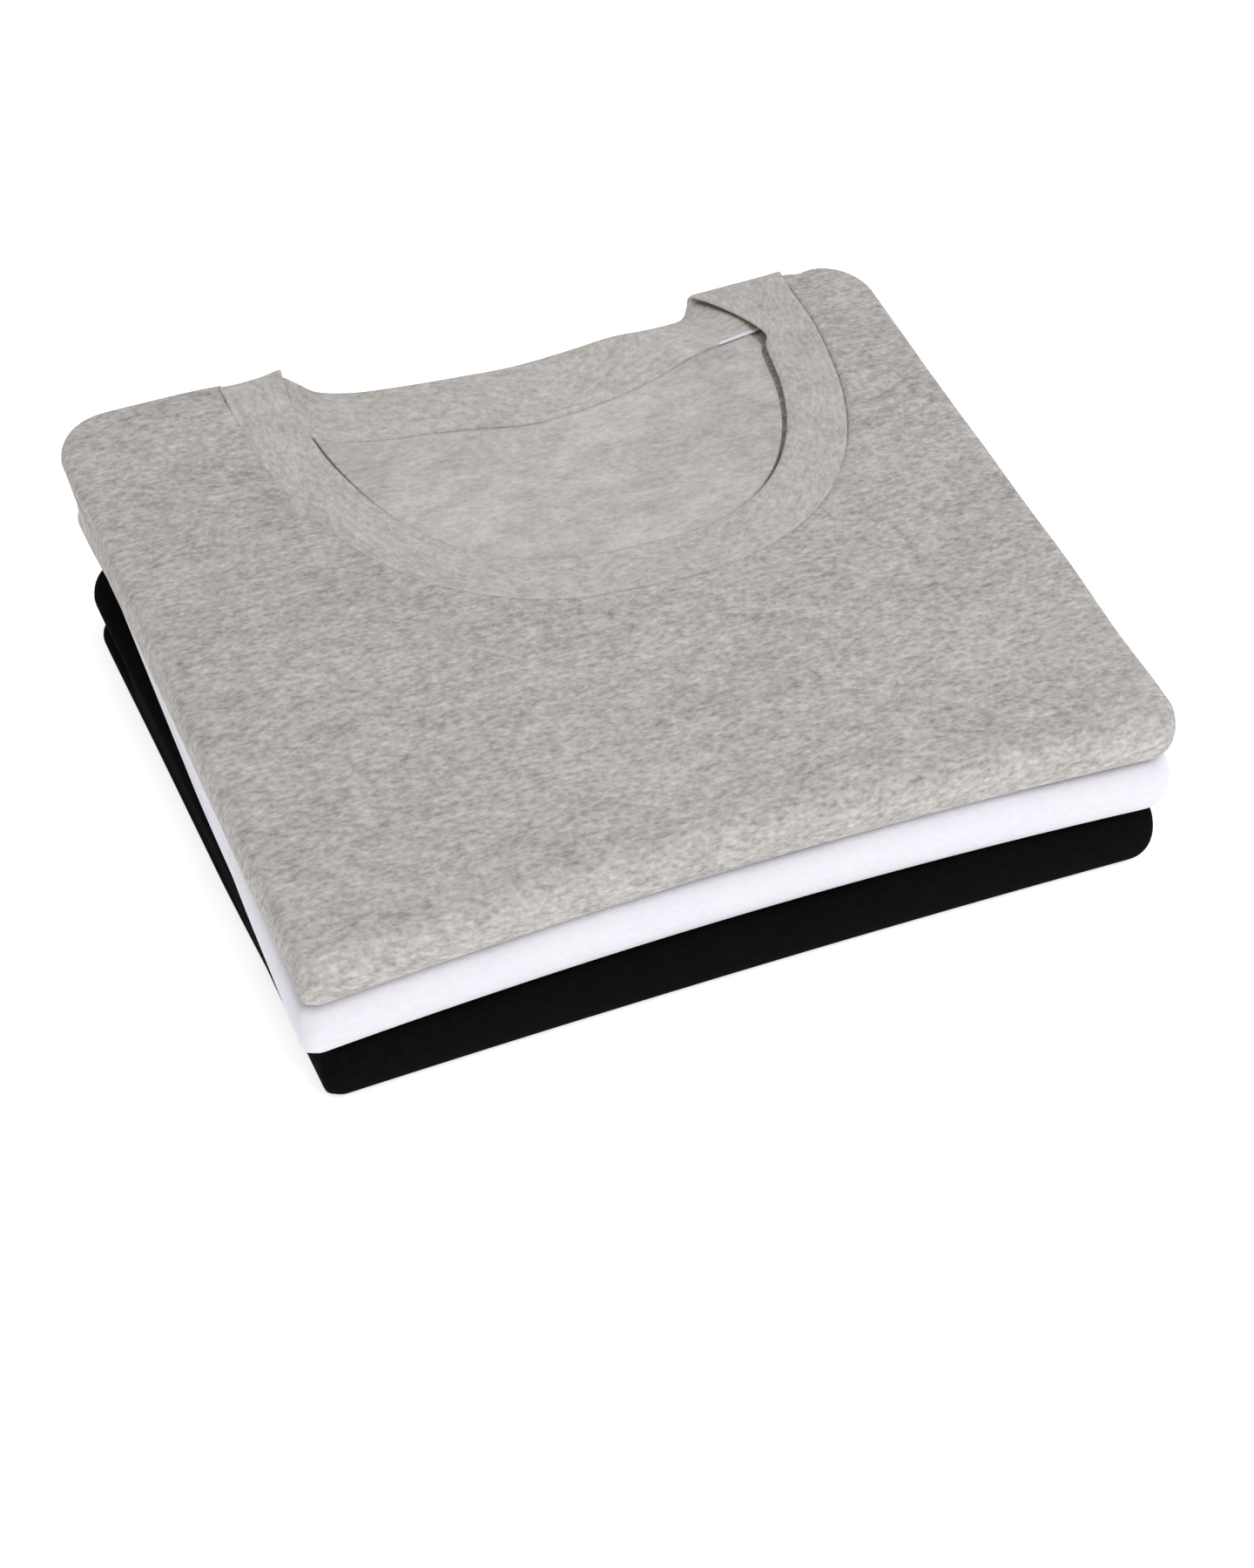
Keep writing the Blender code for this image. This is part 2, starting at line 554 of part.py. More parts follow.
def folded_layers(shirt, base, collection):
    """The hidden lower body, hem and side returns as one rounded solid, layered where the slot shows it."""
    outline, inner = shirt_outline(shirt, (2, 2, 3)), shirt_outline(shirt, (2, 2, 3), RIM)
    rings = []
    for values in LAYER_ROWS:
        row = dict(zip(LAYER_COLUMNS, values))
        level = base + (HEIGHT - row["level"] if row["from_top"] else row["level"])
        ring = []
        for (point, direction), (inside, _) in zip(outline, inner):
            back = smooth((direction[1] - SLOT_START) / (1.0 - SLOT_START))
            x, y = mix(point, inside, mix(row["side_inset"], row["back_inset"], back) / RIM)
            ring.append((x, y - drawn_back(shirt, x, y), level))
        rings.append(ring)
    name = shirt["name"] + "_folded_layers"
    return new_object(name, loft(rings, caps=True), COLOURS[shirt["name"]], collection)


def centre_of(shirts):
    """The middle of the stack's footprint."""
    points = np.array([point for shirt in shirts for point, _ in shirt_outline(shirt, DETAIL[shirt["name"]])])
    return 0.5 * (points.min(axis=0) + points.max(axis=0))


def main():
    for old in list(bpy.data.objects):
        bpy.data.objects.remove(old, do_unlink=True)
    stack = bpy.data.collections.new("folded_tshirt_stack")
    cutters = bpy.data.collections.new("cutters")
    cutters.hide_render = True
    for collection in (stack, cutters):
        bpy.context.scene.collection.children.link(collection)
    shirts = [dict(zip(SHIRT_COLUMNS, row)) for row in SHIRTS]
    for index, shirt in enumerate(shirts):
        base = index * (HEIGHT + GAP)
        front_panel(shirt, base, stack, cutters)
        back_panel(shirt, base, stack)
        neckband(shirt, base, stack)
        for side in ("left", "right"):
            sleeve(shirt, base, side, stack)
        folded_layers(shirt, base, stack)
    centre = centre_of(shirts)
    for made in [*stack.objects, *cutters.objects]:
        made.location = (-centre[0], -centre[1], 0.0)


main()
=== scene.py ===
"""The looks of a stack of three folded crew-neck t-shirts: grey marl on white on black.

Metres, +Z up. Each shirt's front panel is drawn as columns that run from the neckline over the top face and
round the rim to the underside, so that its folds and rolls follow one pattern all the way round.
"""

import math

import bmesh
import bpy
import numpy as np
from mathutils import Euler, Matrix, Vector


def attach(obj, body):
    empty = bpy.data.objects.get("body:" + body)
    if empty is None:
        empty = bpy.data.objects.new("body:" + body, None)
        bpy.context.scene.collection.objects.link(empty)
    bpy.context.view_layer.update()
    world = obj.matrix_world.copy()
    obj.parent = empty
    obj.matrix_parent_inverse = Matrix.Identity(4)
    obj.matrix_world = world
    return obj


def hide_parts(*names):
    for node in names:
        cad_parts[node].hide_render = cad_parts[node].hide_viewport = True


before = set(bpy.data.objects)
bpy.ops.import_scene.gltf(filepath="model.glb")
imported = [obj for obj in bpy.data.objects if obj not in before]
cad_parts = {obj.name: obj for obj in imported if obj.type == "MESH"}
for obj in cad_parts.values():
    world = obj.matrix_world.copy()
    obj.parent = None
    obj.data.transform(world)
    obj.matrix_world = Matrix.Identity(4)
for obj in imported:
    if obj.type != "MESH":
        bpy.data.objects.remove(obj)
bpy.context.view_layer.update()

# Cloth
CLOTH = 0.0012
SHOWN_CLOTH = 0.0010      # the wall of the shown jersey
RIB = 0.0015
GAP = 0.0003

# One folded shirt
HEIGHT = 0.0194
BACK_RADIUS = 0.020
LEFT_RADIUS = 0.0055
RIGHT_RADIUS = 0.0090
RIM = 0.0115
RIM_RADIUS = 0.0015
FRONT_ROUND = 0.0090
ROLL_REACH = 0.0042
ROLL_POINTS = 11
HEM_POINTS = 9
HEM_ROLL = (0.0044, 0.0025, 0.0034)
HEM_LEFT = (0.0028, 0.0069, 0.0012)
HEM_LENGTH = 0.150
HEM_FADE = 0.050
NOTCH = 0.0006
GROOVE = 0.0085
# How far in from the back edge the grooves between a side's rolls start to close, over what length they do,
# and how deep the dimple is that they leave
ROLLS_OPEN = {"black": (0.030, 0.030), "white": (0.060, 0.040), "grey": (0.0, 0.018)}
DIMPLE = 0.0007
# From where on, and over what length, a side is one round roll, and how round
ONE_ROLL = {"black": (0.150, 0.070), "white": (0.150, 0.070), "grey": (0.020, 0.060)}
SIDE_ROUND = 0.0042
SIDE_POWER = 0.62
UPPER_SHARE = 0.53
SHOULDER_ROUND = 0.0024
SHOULDER_EDGE = 0.0012
SLOT_BOTTOM = 0.0086
SHORTER_OVER = (0.100, 0.020)
RISE_OVER = 0.0052
LOWER_ROUND = 0.0060
PANEL_LEVEL = 0.0023
LAYERS_LEVEL = 0.0063
SEAM = (0.1085, 0.1590, 2.43)
FREE = (0.0870, 0.1370, 2.51)
SHOULDER_LINE = 0.141
PANEL_LENGTH = 0.186
PANEL_SIDE = 0.0136
PANEL_BACK = 0.0006
PANEL_EASE = 0.006
NECK_DIP = 0.0018
DIP_PLACE = 0.086
DIP_REACH = 0.085
SLEEVE_WIDTH = 0.058
SLEEVE_CUFF_WIDTH = 0.050
SLEEVE_LENGTH = 0.190
SLEEVE_THICK = 0.0021
SLEEVE_SIDE = 0.0150
SLEEVE_BACK = 0.0090
SLEEVE_RADIUS = 0.012
SLEEVE_STEPS = (40, 16, 40, 16)  # along its four edges
SLEEVE_CORNER = 10        # round a corner
SLEEVE_POINTS = 7         # round half of its edge
SLEEVE_REACH = 0.2        # how far that is rounded, as a share of the thickness

SHIRT_COLUMNS = ("name", "left_back", "left_front", "right_back", "right_front", "front_left", "front_right",
                 "back_left", "back_right", "bow", "shorter", "neck_x", "neck_y", "stand")
SHIRTS = (
    ("black", -0.1520, -0.1387, 0.1500, 0.1405, -0.1420, -0.1418, 0.1130, 0.1200,
     0.002, 0.006, 0.004, 0.118, 0.0),
    ("white", -0.1445, -0.1440, 0.1520, 0.1440, -0.1412, -0.1405, 0.1330, 0.1350,
     0.006, 0.012, 0.010, 0.134, 0.0),
    ("grey", -0.1510, -0.1422, 0.1592, 0.1440, -0.1408, -0.1385, 0.1420, 0.1370,
     0.006, 0.017, 0.0196, 0.141, 1.0),
)
RISES = {"black": (), "white": (), "grey": ((-0.0980, 0.1440, 0.060, 0.0032),)}

# The neckband's sections from the right end of the front neckline over the right shoulder, across the back
# and over the left shoulder
BAND_COLUMNS = ("seam_x", "seam_y", "free_x", "free_y", "over", "seam_rise", "free_rise")
BAND_BACK = (
    (0.1080, 0.1080, 0.0872, 0.1010, 1.0, 0.0004, 0.0010),
    (0.1088, 0.1240, 0.0840, 0.1120, 1.0, 0.0005, 0.0014),
    (0.1096, 0.1335, 0.0775, 0.1235, 1.0, 0.0006, 0.0020),
    (0.1102, 0.1380, 0.0712, 0.1318, 1.0, 0.0005, 0.0021),
    (0.1103, 0.1389, 0.0698, 0.1329, 0.85, 0.0004, 0.0019),
    (0.1104, 0.1392, 0.0695, 0.1332, 0.5, 0.0003, 0.0015),
    (0.1103, 0.1389, 0.0693, 0.1329, 0.15, 0.0001, 0.0010),
    (0.1096, 0.1376, 0.0685, 0.1316, 0.0, 0.0000, 0.0006),
    (0.1050, 0.1285, 0.0645, 0.1250, 0.0, 0.0000, 0.0014),
    (0.0920, 0.1112, 0.0585, 0.1190, 0.0, 0.0000, 0.0040),
    (0.0610, 0.1022, 0.0455, 0.1160, 0.0, 0.0002, 0.0062),
    (0.0380, 0.0932, 0.0320, 0.1162, 0.0, 0.0002, 0.0070),
    (0.0140, 0.0872, 0.0130, 0.1140, 0.0, 0.0002, 0.0072),
    (-0.0080, 0.0855, -0.0080, 0.1122, 0.0, 0.0002, 0.0072),
    (-0.0260, 0.0890, -0.0270, 0.1128, 0.0, 0.0002, 0.0072),
    (-0.0440, 0.0922, -0.0460, 0.1145, 0.0, 0.0002, 0.0068),
    (-0.0620, 0.0945, -0.0640, 0.1180, 0.0, 0.0002, 0.0058),
    (-0.0800, 0.1000, -0.0765, 0.1240, 0.0, 0.0000, 0.0046),
    (-0.0960, 0.1160, -0.0812, 0.1325, 0.0, -0.0003, 0.0032),
    (-0.1062, 0.1335, -0.0842, 0.1385, 0.0, 0.0000, 0.0022),
    (-0.1083, 0.1388, -0.0850, 0.1401, 0.15, 0.0001, 0.0014),
    (-0.1088, 0.1392, -0.0852, 0.1405, 0.5, 0.0003, 0.0024),
    (-0.1088, 0.1388, -0.0854, 0.1401, 0.85, 0.0005, 0.0030),
    (-0.1087, 0.1365, -0.0858, 0.1385, 1.0, 0.0006, 0.0030),
    (-0.1085, 0.1260, -0.0868, 0.1270, 1.0, 0.0005, 0.0018),
)
BAND_ARC = (174.0, 15.0)
BAND_FRONT_SECTIONS = 18
BAND_OVER = -0.0009
BAND_UNDER = -0.0029
BAND_STEPS = 9            # between two sections
# The band's own section: how far from the seam (or, where negative, from the free edge) and which share of
# half its thickness up
BAND_TOP = ((0.0, -0.3), (0.0002, 0.35), (0.0007, 0.85), (0.0016, 1.0), (0.0045, 1.12), (0.0080, 1.2),
            (-0.0080, 1.2), (-0.0040, 1.12), (-0.0016, 1.0), (-0.0007, 0.72), (-0.0002, 0.4), (0.0, 0.0))
BAND_BOTTOM = ((-0.0002, -0.4), (-0.0008, -0.85), (-0.0018, -1.0), (-0.0080, -1.0), (0.0080, -1.0),
               (0.0015, -1.0), (0.0004, -0.8))
FULL_WIDTH = 0.018        # where the band is narrower than this, its section is narrowed too
UNDER_RELIEF = 0.1        # how much of the top face's relief the band takes on where it lies under
# By the angle round the neck, from the left shoulder over the front: how far the band's seam edge is rounded
# down, and how deep the seam's groove is
NECK_ANGLES = (-125.0, -95.0, -60.0, -30.0, 0.0, 30.0, 55.0, 75.0, 125.0)
EDGE_SHARES = (0.20, 0.15, 0.12, 0.10, 0.10, 0.15, 0.50, 1.0, 1.0)
GROOVE_DEPTHS = (0.00014, 0.00012, 0.00010, 0.00008, 0.00008, 0.00012, 0.00030, 0.00070, 0.00080)
EDGE_AT_BACK = 0.25       # that share across the back
EDGE_POINTS = 3           # how many of the section's first points are rounded down
BACK_GROOVE = 0.0002      # the groove's depth at the back panel
# How far the band sags between its edges at the shoulders, left and right, and from where
SHOULDER_SAG = (0.0015, 0.0006)
SAG_FROM = 0.124
SAG_OVER = 0.012

# The folded layers' rolled edges from top to bottom: level down from the top face, how far inside the
# outline they end at the sides and at the back, and how high each roll is
LAYER_EDGES = (
    (0.0063, 0.0108, 0.0034, 0.0012),
    (0.0075, 0.0108, 0.0038, 0.0010),
)
LAYERS_BACK = 0.0095
LAYERS_SIDE = 0.0106
LAYERS_DEEP = (0.0035, 0.0125, 0.0120)   # level above the underside, and the insets under that
LAYERS_TURN = 0.8         # from here on the outline counts as the layers' back
LAYER_STEP = 2            # they have one column for so many of the front panel's
LAYER_POINTS = 9          # round one roll
LAYER_REACH = (0.2, 0.5)  # how far it reaches out, at the sides and at the back, as shares of its height

# Where the outline faces the front and the back
TURN_START = 0.1
TURN_LENGTH = 0.85
FACES_BACK = 0.7

# How finely the shirts are drawn: columns from shoulder to shoulder round the front, columns across the
# neck, and rows on the top face
FINE = {"black": (300, 60, 14), "white": (300, 60, 14), "grey": (430, 70, 50)}
OUTLINE_STEPS = (50, 50, 16)
CORNER_SHARE = 0.014      # metres of outline that a turn of one radian counts for
NECK_CENTRE = 0.075       # the point that the columns spread from, inside the shoulder line
RIPPLED = (0.120, 0.015, 1.2)   # right of this X and behind this Y, outline counts for so much more
# Rings of points across a flat face, as shares of the way from its middle to its edge
UNDERSIDE_RINGS = (1.0, 0.7, 0.35, 0.02)
LAYER_RINGS = (0.02, 0.5, 0.9)
SLEEVE_RINGS = (0.02, 0.4, 0.75)

# The seam between the neckband and a panel: places across the groove, from under the band outwards, and the
# panel's level there as a share of the groove's depth
SEAM_ROWS = ((-0.0035, None), (-0.0004, None), (0.0, 1.0), (0.0005, 0.62), (0.0011, 0.2), (0.0020, 0.0))
SEAM_NEAR = 0.006
SEAM_UNDER = 0.0012       # how far down the panel's own edge goes, under the band
SEAM_LAP = 0.0009         # how far under the band it starts to, where the seam hardly shows
BACK_LAP = 0.0005         # and at the back
FOLD_SHARE = 0.1          # how much of their distances the rows under the band keep where the shoulder folds
SHOULDER_TUCK = 0.0010    # how far the panel reaches under the band at the shoulder edge
SHOULDER_GAP = 0.0004     # how far outside the seam its end columns turn over the rim

WELD = 1e-6
SIDES = ("left", "right")


def smooth(t):
    t = np.clip(t, 0.0, 1.0)
    return t * t * (3.0 - 2.0 * t)


def mix(a, b, share):
    return a + (b - a) * share


def rounded_outline(corners, along, round_corner):
    """Points and outward directions round four corners, given as (x, y, radius), anticlockwise from the
    left back one."""
    places = [np.array(corner[:2]) for corner in corners]
    edges = [places[(i + 1) % 4] - places[i] for i in range(4)]
    normals = [np.array((e[1], -e[0])) / np.linalg.norm(e) for e in edges]
    arcs = []
    for i, (place, corner) in enumerate(zip(places, corners)):
        before, after = normals[i - 1], normals[i]
        centre = place - (before + after) * corner[2] / (1.0 + before @ after)
        start = math.atan2(before[1], before[0])
        turn = (math.atan2(after[1], after[0]) - start) % (2.0 * math.pi)
        angles = [start + turn * k / round_corner for k in range(round_corner + 1)]
        directions = [np.array((math.cos(a), math.sin(a))) for a in angles]
        arcs.append([(centre + d * corner[2], d) for d in directions])
    found = []
    for i, arc in enumerate(arcs):
        found += arc
        begin, end = arc[-1][0], arcs[(i + 1) % 4][0][0]
        found += [(mix(begin, end, k / along[i]), normals[i]) for k in range(1, along[i])]
    return found


def shirt_outline(shirt, inset=0.0):
    """The folded shirt's outline on the plan, or one this far inside it, as (point, outward direction)."""
    sides, ends, corners = OUTLINE_STEPS
    radii = (BACK_RADIUS, LEFT_RADIUS, RIGHT_RADIUS, BACK_RADIUS)
    places = (
        (shirt["left_back"] + inset, shirt["back_left"] - inset),
        (shirt["left_front"] + inset, shirt["front_left"] + inset),
        (shirt["right_front"] - inset, shirt["front_right"] + inset),
        (shirt["right_back"] - inset, shirt["back_right"] - inset),
    )
    rounds = [(*place, max(radius - inset, RIM_RADIUS)) for place, radius in zip(places, radii)]
    found = rounded_outline(rounds, (sides, ends, sides, ends), corners)
    middle = 0.5 * (shirt["left_front"] + shirt["right_front"])
    half = 0.5 * (shirt["right_front"] - shirt["left_front"])
    for point, direction in found:
        across = min(abs(point[0] - middle) / half, 1.0)
        point[1] += shirt["bow"] * (1.0 - across**2) * max(-direction[1], 0.0)
    return found


def side_at(shirt, side, y):
    front, back = shirt["front_" + side], shirt["back_" + side]
    return mix(shirt[side + "_front"], shirt[side + "_back"], (y - front) / (back - front))


def back_at(shirt, x):
    share = (x - shirt["left_back"]) / (shirt["right_back"] - shirt["left_back"])
    return mix(shirt["back_left"], shirt["back_right"], share)


def drawn_back(shirt, x, y):
    """How far the lower half is drawn back at this place."""
    start, end = SHORTER_OVER
    return shirt["shorter"] * smooth((y - back_at(shirt, x) + start) / (start - end))


def rise_at(shirt, x, y):
    """How far the top face stands proud here."""
    total = 0.0 * x
    for at_x, at_y, reach, height in RISES[shirt["name"]]:
        total = total + height * smooth(1.0 - np.hypot(x - at_x, y - at_y) / reach)
    return total


def roll(top, bottom, setback, reach, points, power=1.0):
    """(inset, z) down one roll, half an ellipse, or squarer where power is below 1."""
    middle, half = 0.5 * (top + bottom), 0.5 * (top - bottom)
    angles = [math.pi * (0.5 - k / (points - 1)) for k in range(points)]
    insets = [setback + reach * (1.0 - abs(math.cos(angle)) ** power) for angle in angles]
    return [(inset, middle + half * math.sin(angle)) for inset, angle in zip(insets, angles)]


def side_profile(hem):
    """The rim at a shirt's side, top to bottom: two rolls, and a third between them where hem is 1."""
    hem_height, setback, reach = mix(np.array(HEM_LEFT), np.array(HEM_ROLL), hem)
    left = HEIGHT - hem_height - 2.0 * NOTCH
    hem_top = HEIGHT - UPPER_SHARE * left - NOTCH
    hem_bottom = hem_top - hem_height
    return (
        roll(HEIGHT, hem_top + NOTCH, 0.0, ROLL_REACH, ROLL_POINTS)
        + [(GROOVE, hem_top + 0.5 * NOTCH)]
        + roll(hem_top, hem_bottom, setback, reach, HEM_POINTS)
        + [(GROOVE, hem_bottom - 0.5 * NOTCH)]
        + roll(hem_bottom - NOTCH, 0.0, 0.0, ROLL_REACH, ROLL_POINTS)
    )


def back_profile():
    """The rim at the back: the shoulder edge, the slot's walls and the lower fold."""
    edge = roll(HEIGHT, HEIGHT - 2.0 * SHOULDER_EDGE, 0.0, SHOULDER_ROUND, ROLL_POINTS)
    slot = [(GROOVE, HEIGHT - 0.5 * (SHOULDER_EDGE + SLOT_BOTTOM))]
    return edge + slot + roll(HEIGHT - SLOT_BOTTOM, 0.0, 0.0, LOWER_ROUND, HEM_POINTS + 1 + ROLL_POINTS)


# The rim's rows that the slot at the back takes, and from where on the rows are drawn back
SLOT_FIRST = ROLL_POINTS // 2
SLOT_LAST = ROLL_POINTS + 1
LOWER_FROM = SLOT_LAST - 1.5
FRONT_POWER = 0.6
RIM_POINTS = 2 * ROLL_POINTS + HEM_POINTS + 2
FRONT_ROLL = roll(HEIGHT, 0.0, 0.0, FRONT_ROUND, RIM_POINTS, FRONT_POWER)
SIDE_ROLL = roll(HEIGHT, 0.0, 0.0, SIDE_ROUND, RIM_POINTS, SIDE_POWER)


def rim_profile(shirt, point, direction):
    """The rim at one point of the outline, as (inset, z) from top to bottom."""
    front = smooth((-direction[1] - TURN_START) / TURN_LENGTH)
    back = smooth((direction[1] - TURN_START) / TURN_LENGTH)
    hem = smooth((point[1] - back_at(shirt, point[0]) + HEM_LENGTH) / HEM_FADE)
    from_back = back_at(shirt, point[0]) - point[1]
    closed, single = [
        smooth((from_back - start) / over)
        for start, over in (ROLLS_OPEN[shirt["name"]], ONE_ROLL[shirt["name"]])
    ]
    side = np.array(side_profile(hem))
    between = slice(ROLL_POINTS // 2 + 1, len(side) - ROLL_POINTS // 2 - 1)
    shallow = DIMPLE * np.tanh(side[between, 0] / DIMPLE)
    side[between, 0] = mix(side[between, 0], shallow, closed)
    side = mix(side, np.array(SIDE_ROLL), single)
    profiles = ((1.0 - front - back, side), (front, FRONT_ROLL), (back, back_profile()))
    return sum(share * np.array(profile) for share, profile in profiles)


def neck_point(shirt, ellipse, degrees):
    half_width, depth, power = ellipse
    across, down = math.cos(math.radians(degrees)), math.sin(math.radians(degrees))
    x = half_width * math.copysign(abs(across) ** (2.0 / power), across)
    return np.array((shirt["neck_x"] + x, shirt["neck_y"] - depth * abs(down) ** (2.0 / power)))


def panel_level(shirt, x, y):
    """How far the back panel's top lies below the shirt's top face."""
    across = smooth(1.0 - np.abs(x - shirt["neck_x"]) / DIP_REACH)
    along = smooth(1.0 - np.abs(y - shirt["neck_y"] + DIP_PLACE) / DIP_REACH)
    return PANEL_LEVEL + NECK_DIP * across * along


def band_sections(shirt):
    """(seam, free edge) of each section of the neckband, each as x, y, z down from the top face, and
    whether it lies over (1) or under (0)."""
    first, last = BAND_ARC
    sections = []
    for k in range(BAND_FRONT_SECTIONS):
        degrees = mix(first, last, k / (BAND_FRONT_SECTIONS - 1))
        seam, free = neck_point(shirt, SEAM, degrees), neck_point(shirt, FREE, degrees)
        sections.append(((*seam, BAND_OVER, 1.0), (*free, BAND_OVER, 1.0)))
    shift = shirt["neck_y"] - SHOULDER_LINE
    for values in BAND_BACK:
        row = dict(zip(BAND_COLUMNS, values))
        seam = (shirt["neck_x"] + row["seam_x"], row["seam_y"] + shift)
        free = (shirt["neck_x"] + row["free_x"], row["free_y"] + shift)
        under = min(BAND_UNDER, -panel_level(shirt, *seam) - 0.5 * CLOTH)
        level = mix(under, BAND_OVER, row["over"])
        sections.append((
            (*seam, level + shirt["stand"] * row["seam_rise"], row["over"]),
            (*free, level + shirt["stand"] * row["free_rise"], row["over"]),
        ))
    sections = np.array(sections)
    for edge in sections.reshape(-1, 4):
        edge[2] += rise_at(shirt, *edge[:2])
    return sections


def closed_curve(points, steps):
    """Points along a smooth closed curve through these ones."""
    before, after = np.roll(points, 1, axis=0), np.roll(points, -1, axis=0)
    beyond = np.roll(points, -2, axis=0)
    found = []
    for k in range(steps):
        t = k / steps
        found.append(0.5 * (
            2.0 * points + (after - before) * t
            + (2.0 * before - 5.0 * points + 4.0 * after - beyond) * t**2
            + (3.0 * points - before - 3.0 * after + beyond) * t**3
        ))
    return np.stack(found, axis=1).reshape(-1, *points.shape[1:])


def neck_seam(shirt, over):
    """The edge of the front panel (over) or of the back panel at the neckband's seam, on the plan and from
    one shoulder fold to the other."""
    seam = closed_curve(band_sections(shirt), BAND_STEPS)[:, 0]
    lies = seam[:, 3] >= 0.5 if over else seam[:, 3] <= 0.5
    first = next(k for k in range(len(seam)) if lies[k] and not lies[k - 1])
    return np.roll(seam, -first, axis=0)[: np.count_nonzero(lies)]


def grid_mesh(name, rows, uvs, keep=None, close=False):
    """A mesh through rows of points. keep says which faces are made, by row and column."""
    rows, uvs = np.asarray(rows, float), np.asarray(uvs, float)
    count, wide = rows.shape[:2]
    across = wide if close else wide - 1
    r, c = np.meshgrid(np.arange(count - 1), np.arange(across), indexing="ij")
    d = (c + 1) % wide
    faces = np.stack((r * wide + c, (r + 1) * wide + c, (r + 1) * wide + d, r * wide + d), axis=-1)
    faces = faces.reshape(-1, 4) if keep is None else faces[keep]
    used, index = np.unique(faces, return_inverse=True)
    faces = index.reshape(faces.shape)
    mesh = bpy.data.meshes.new(name)
    mesh.from_pydata(rows.reshape(-1, 3)[used].tolist(), [], faces.tolist())
    layer = mesh.uv_layers.new(name="cloth")
    layer.data.foreach_set("uv", uvs.reshape(-1, 2)[used][faces.reshape(-1)].reshape(-1))
    mesh.shade_smooth()
    mesh.update()
    made = bpy.data.objects.new(name, mesh)
    bpy.context.scene.collection.objects.link(made)
    made.location = (-centre[0], -centre[1], 0.0)
    return made


def weld(made):
    """Joins the ends of a grid that closes on itself."""
    bm = bmesh.new()
    bm.from_mesh(made.data)
    bmesh.ops.remove_doubles(bm, verts=bm.verts, dist=WELD)
    bm.to_mesh(made.data)
    bm.free()


def thicken(made, thickness):
    """Gives a piece its cloth wall, inwards."""
    wall = made.modifiers.new("wall", "SOLIDIFY")
    wall.thickness = thickness
    wall.offset = -1.0
    graph = bpy.context.evaluated_depsgraph_get()
    mesh = bpy.data.meshes.new_from_object(made.evaluated_get(graph))
    made.modifiers.clear()
    made.data = mesh


# Long shallow waves in the cloth: wavelength, direction in degrees, phase and height
WAVES = (
    (0.110, 20.0, 0.4, 0.00030),
    (0.074, 100.0, 1.9, 0.00022),
    (0.052, 55.0, 3.1, 0.00016),
    (0.041, 150.0, 5.0, 0.00012),
)
WAVE_BEND = (0.012, 0.16, 1.3)  # how far the waves wander to the side, over what length, and the phase
CREASE_END = 0.3          # the share of a crease's length over which each end dies away
# Creases and ridges, listed one by one: start x, y, end x, y, half width and height (a ridge where positive)
CREASES = {
    "black": (),
    "white": (),
    "grey": (
        # beside the seam at the right shoulder edge
        (0.1390, 0.1680, 0.1335, 0.1080, 0.0042, -0.00100),
        # ripples between the neck and the right side
        (0.1250, 0.0690, 0.1500, 0.0775, 0.0024, -0.00136),
        (0.1240, 0.0570, 0.1500, 0.0660, 0.0020, 0.00119),
        (0.1230, 0.0500, 0.1470, 0.0615, 0.0018, -0.00144),
        (0.1270, 0.0430, 0.1420, 0.0490, 0.0016, -0.00102),
        (0.1220, 0.0385, 0.1450, 0.0460, 0.0017, 0.00136),
        (0.1240, 0.0358, 0.1430, 0.0402, 0.0016, -0.00110),
        (0.1210, 0.0308, 0.1370, 0.0345, 0.0016, -0.00102),
        (0.1290, 0.0200, 0.1460, 0.0243, 0.0022, 0.00102),
        (0.1430, 0.0180, 0.1320, -0.0060, 0.0022, -0.00136),
        (0.1350, -0.0010, 0.1230, -0.0205, 0.0022, -0.00119),
        (0.1190, -0.0078, 0.1340, -0.0036, 0.0022, 0.00110),
        # the left shoulder and side
        (-0.1240, 0.0940, -0.0800, 0.0840, 0.0024, -0.00040),
        (-0.1460, 0.0860, -0.1230, 0.0980, 0.0040, 0.00045),
        (-0.1470, 0.0610, -0.1250, 0.0780, 0.0045, -0.00045),
        (-0.1440, 0.0380, -0.1180, 0.0540, 0.0050, 0.00040),
        (-0.1430, 0.1180, -0.1000, 0.1090, 0.0050, 0.00045),
        # the body and towards the front
        (-0.0950, 0.0080, -0.0450, 0.0060, 0.0045, -0.00030),
        (0.0350, -0.0400, 0.1050, -0.0250, 0.0070, 0.00040),
        (-0.0600, -0.0620, 0.0200, -0.0500, 0.0080, -0.00035),
        (0.0900, -0.1010, 0.1390, -0.0900, 0.0060, 0.00050),
        (-0.1300, -0.1020, -0.0700, -0.0880, 0.0070, 0.00040),
    ),
}


def relief(shirt, x, y):
    """How far the cloth stands above its level here."""
    bend, over, start = WAVE_BEND
    wander = bend * np.sin(2.0 * math.pi * y / over + start)
    total = 0.0 * x
    for length, degrees, phase, height in WAVES:
        ahead = math.radians(degrees)
        along = (x + wander) * math.cos(ahead) + (y - 0.5 * wander) * math.sin(ahead)
        total = total + height * np.sin(2.0 * math.pi * along / length + phase)
    for x0, y0, x1, y1, half_width, height in CREASES[shirt["name"]]:
        span = np.array((x1 - x0, y1 - y0))
        length = np.linalg.norm(span)
        ahead = span / length
        along = ((x - x0) * ahead[0] + (y - y0) * ahead[1]) / length
        aside = (x - x0) * ahead[1] - (y - y0) * ahead[0]
        ends = smooth(along / CREASE_END) * smooth((1.0 - along) / CREASE_END)
        total = total + height * ends * np.exp(-((aside / half_width) ** 2))
    return total


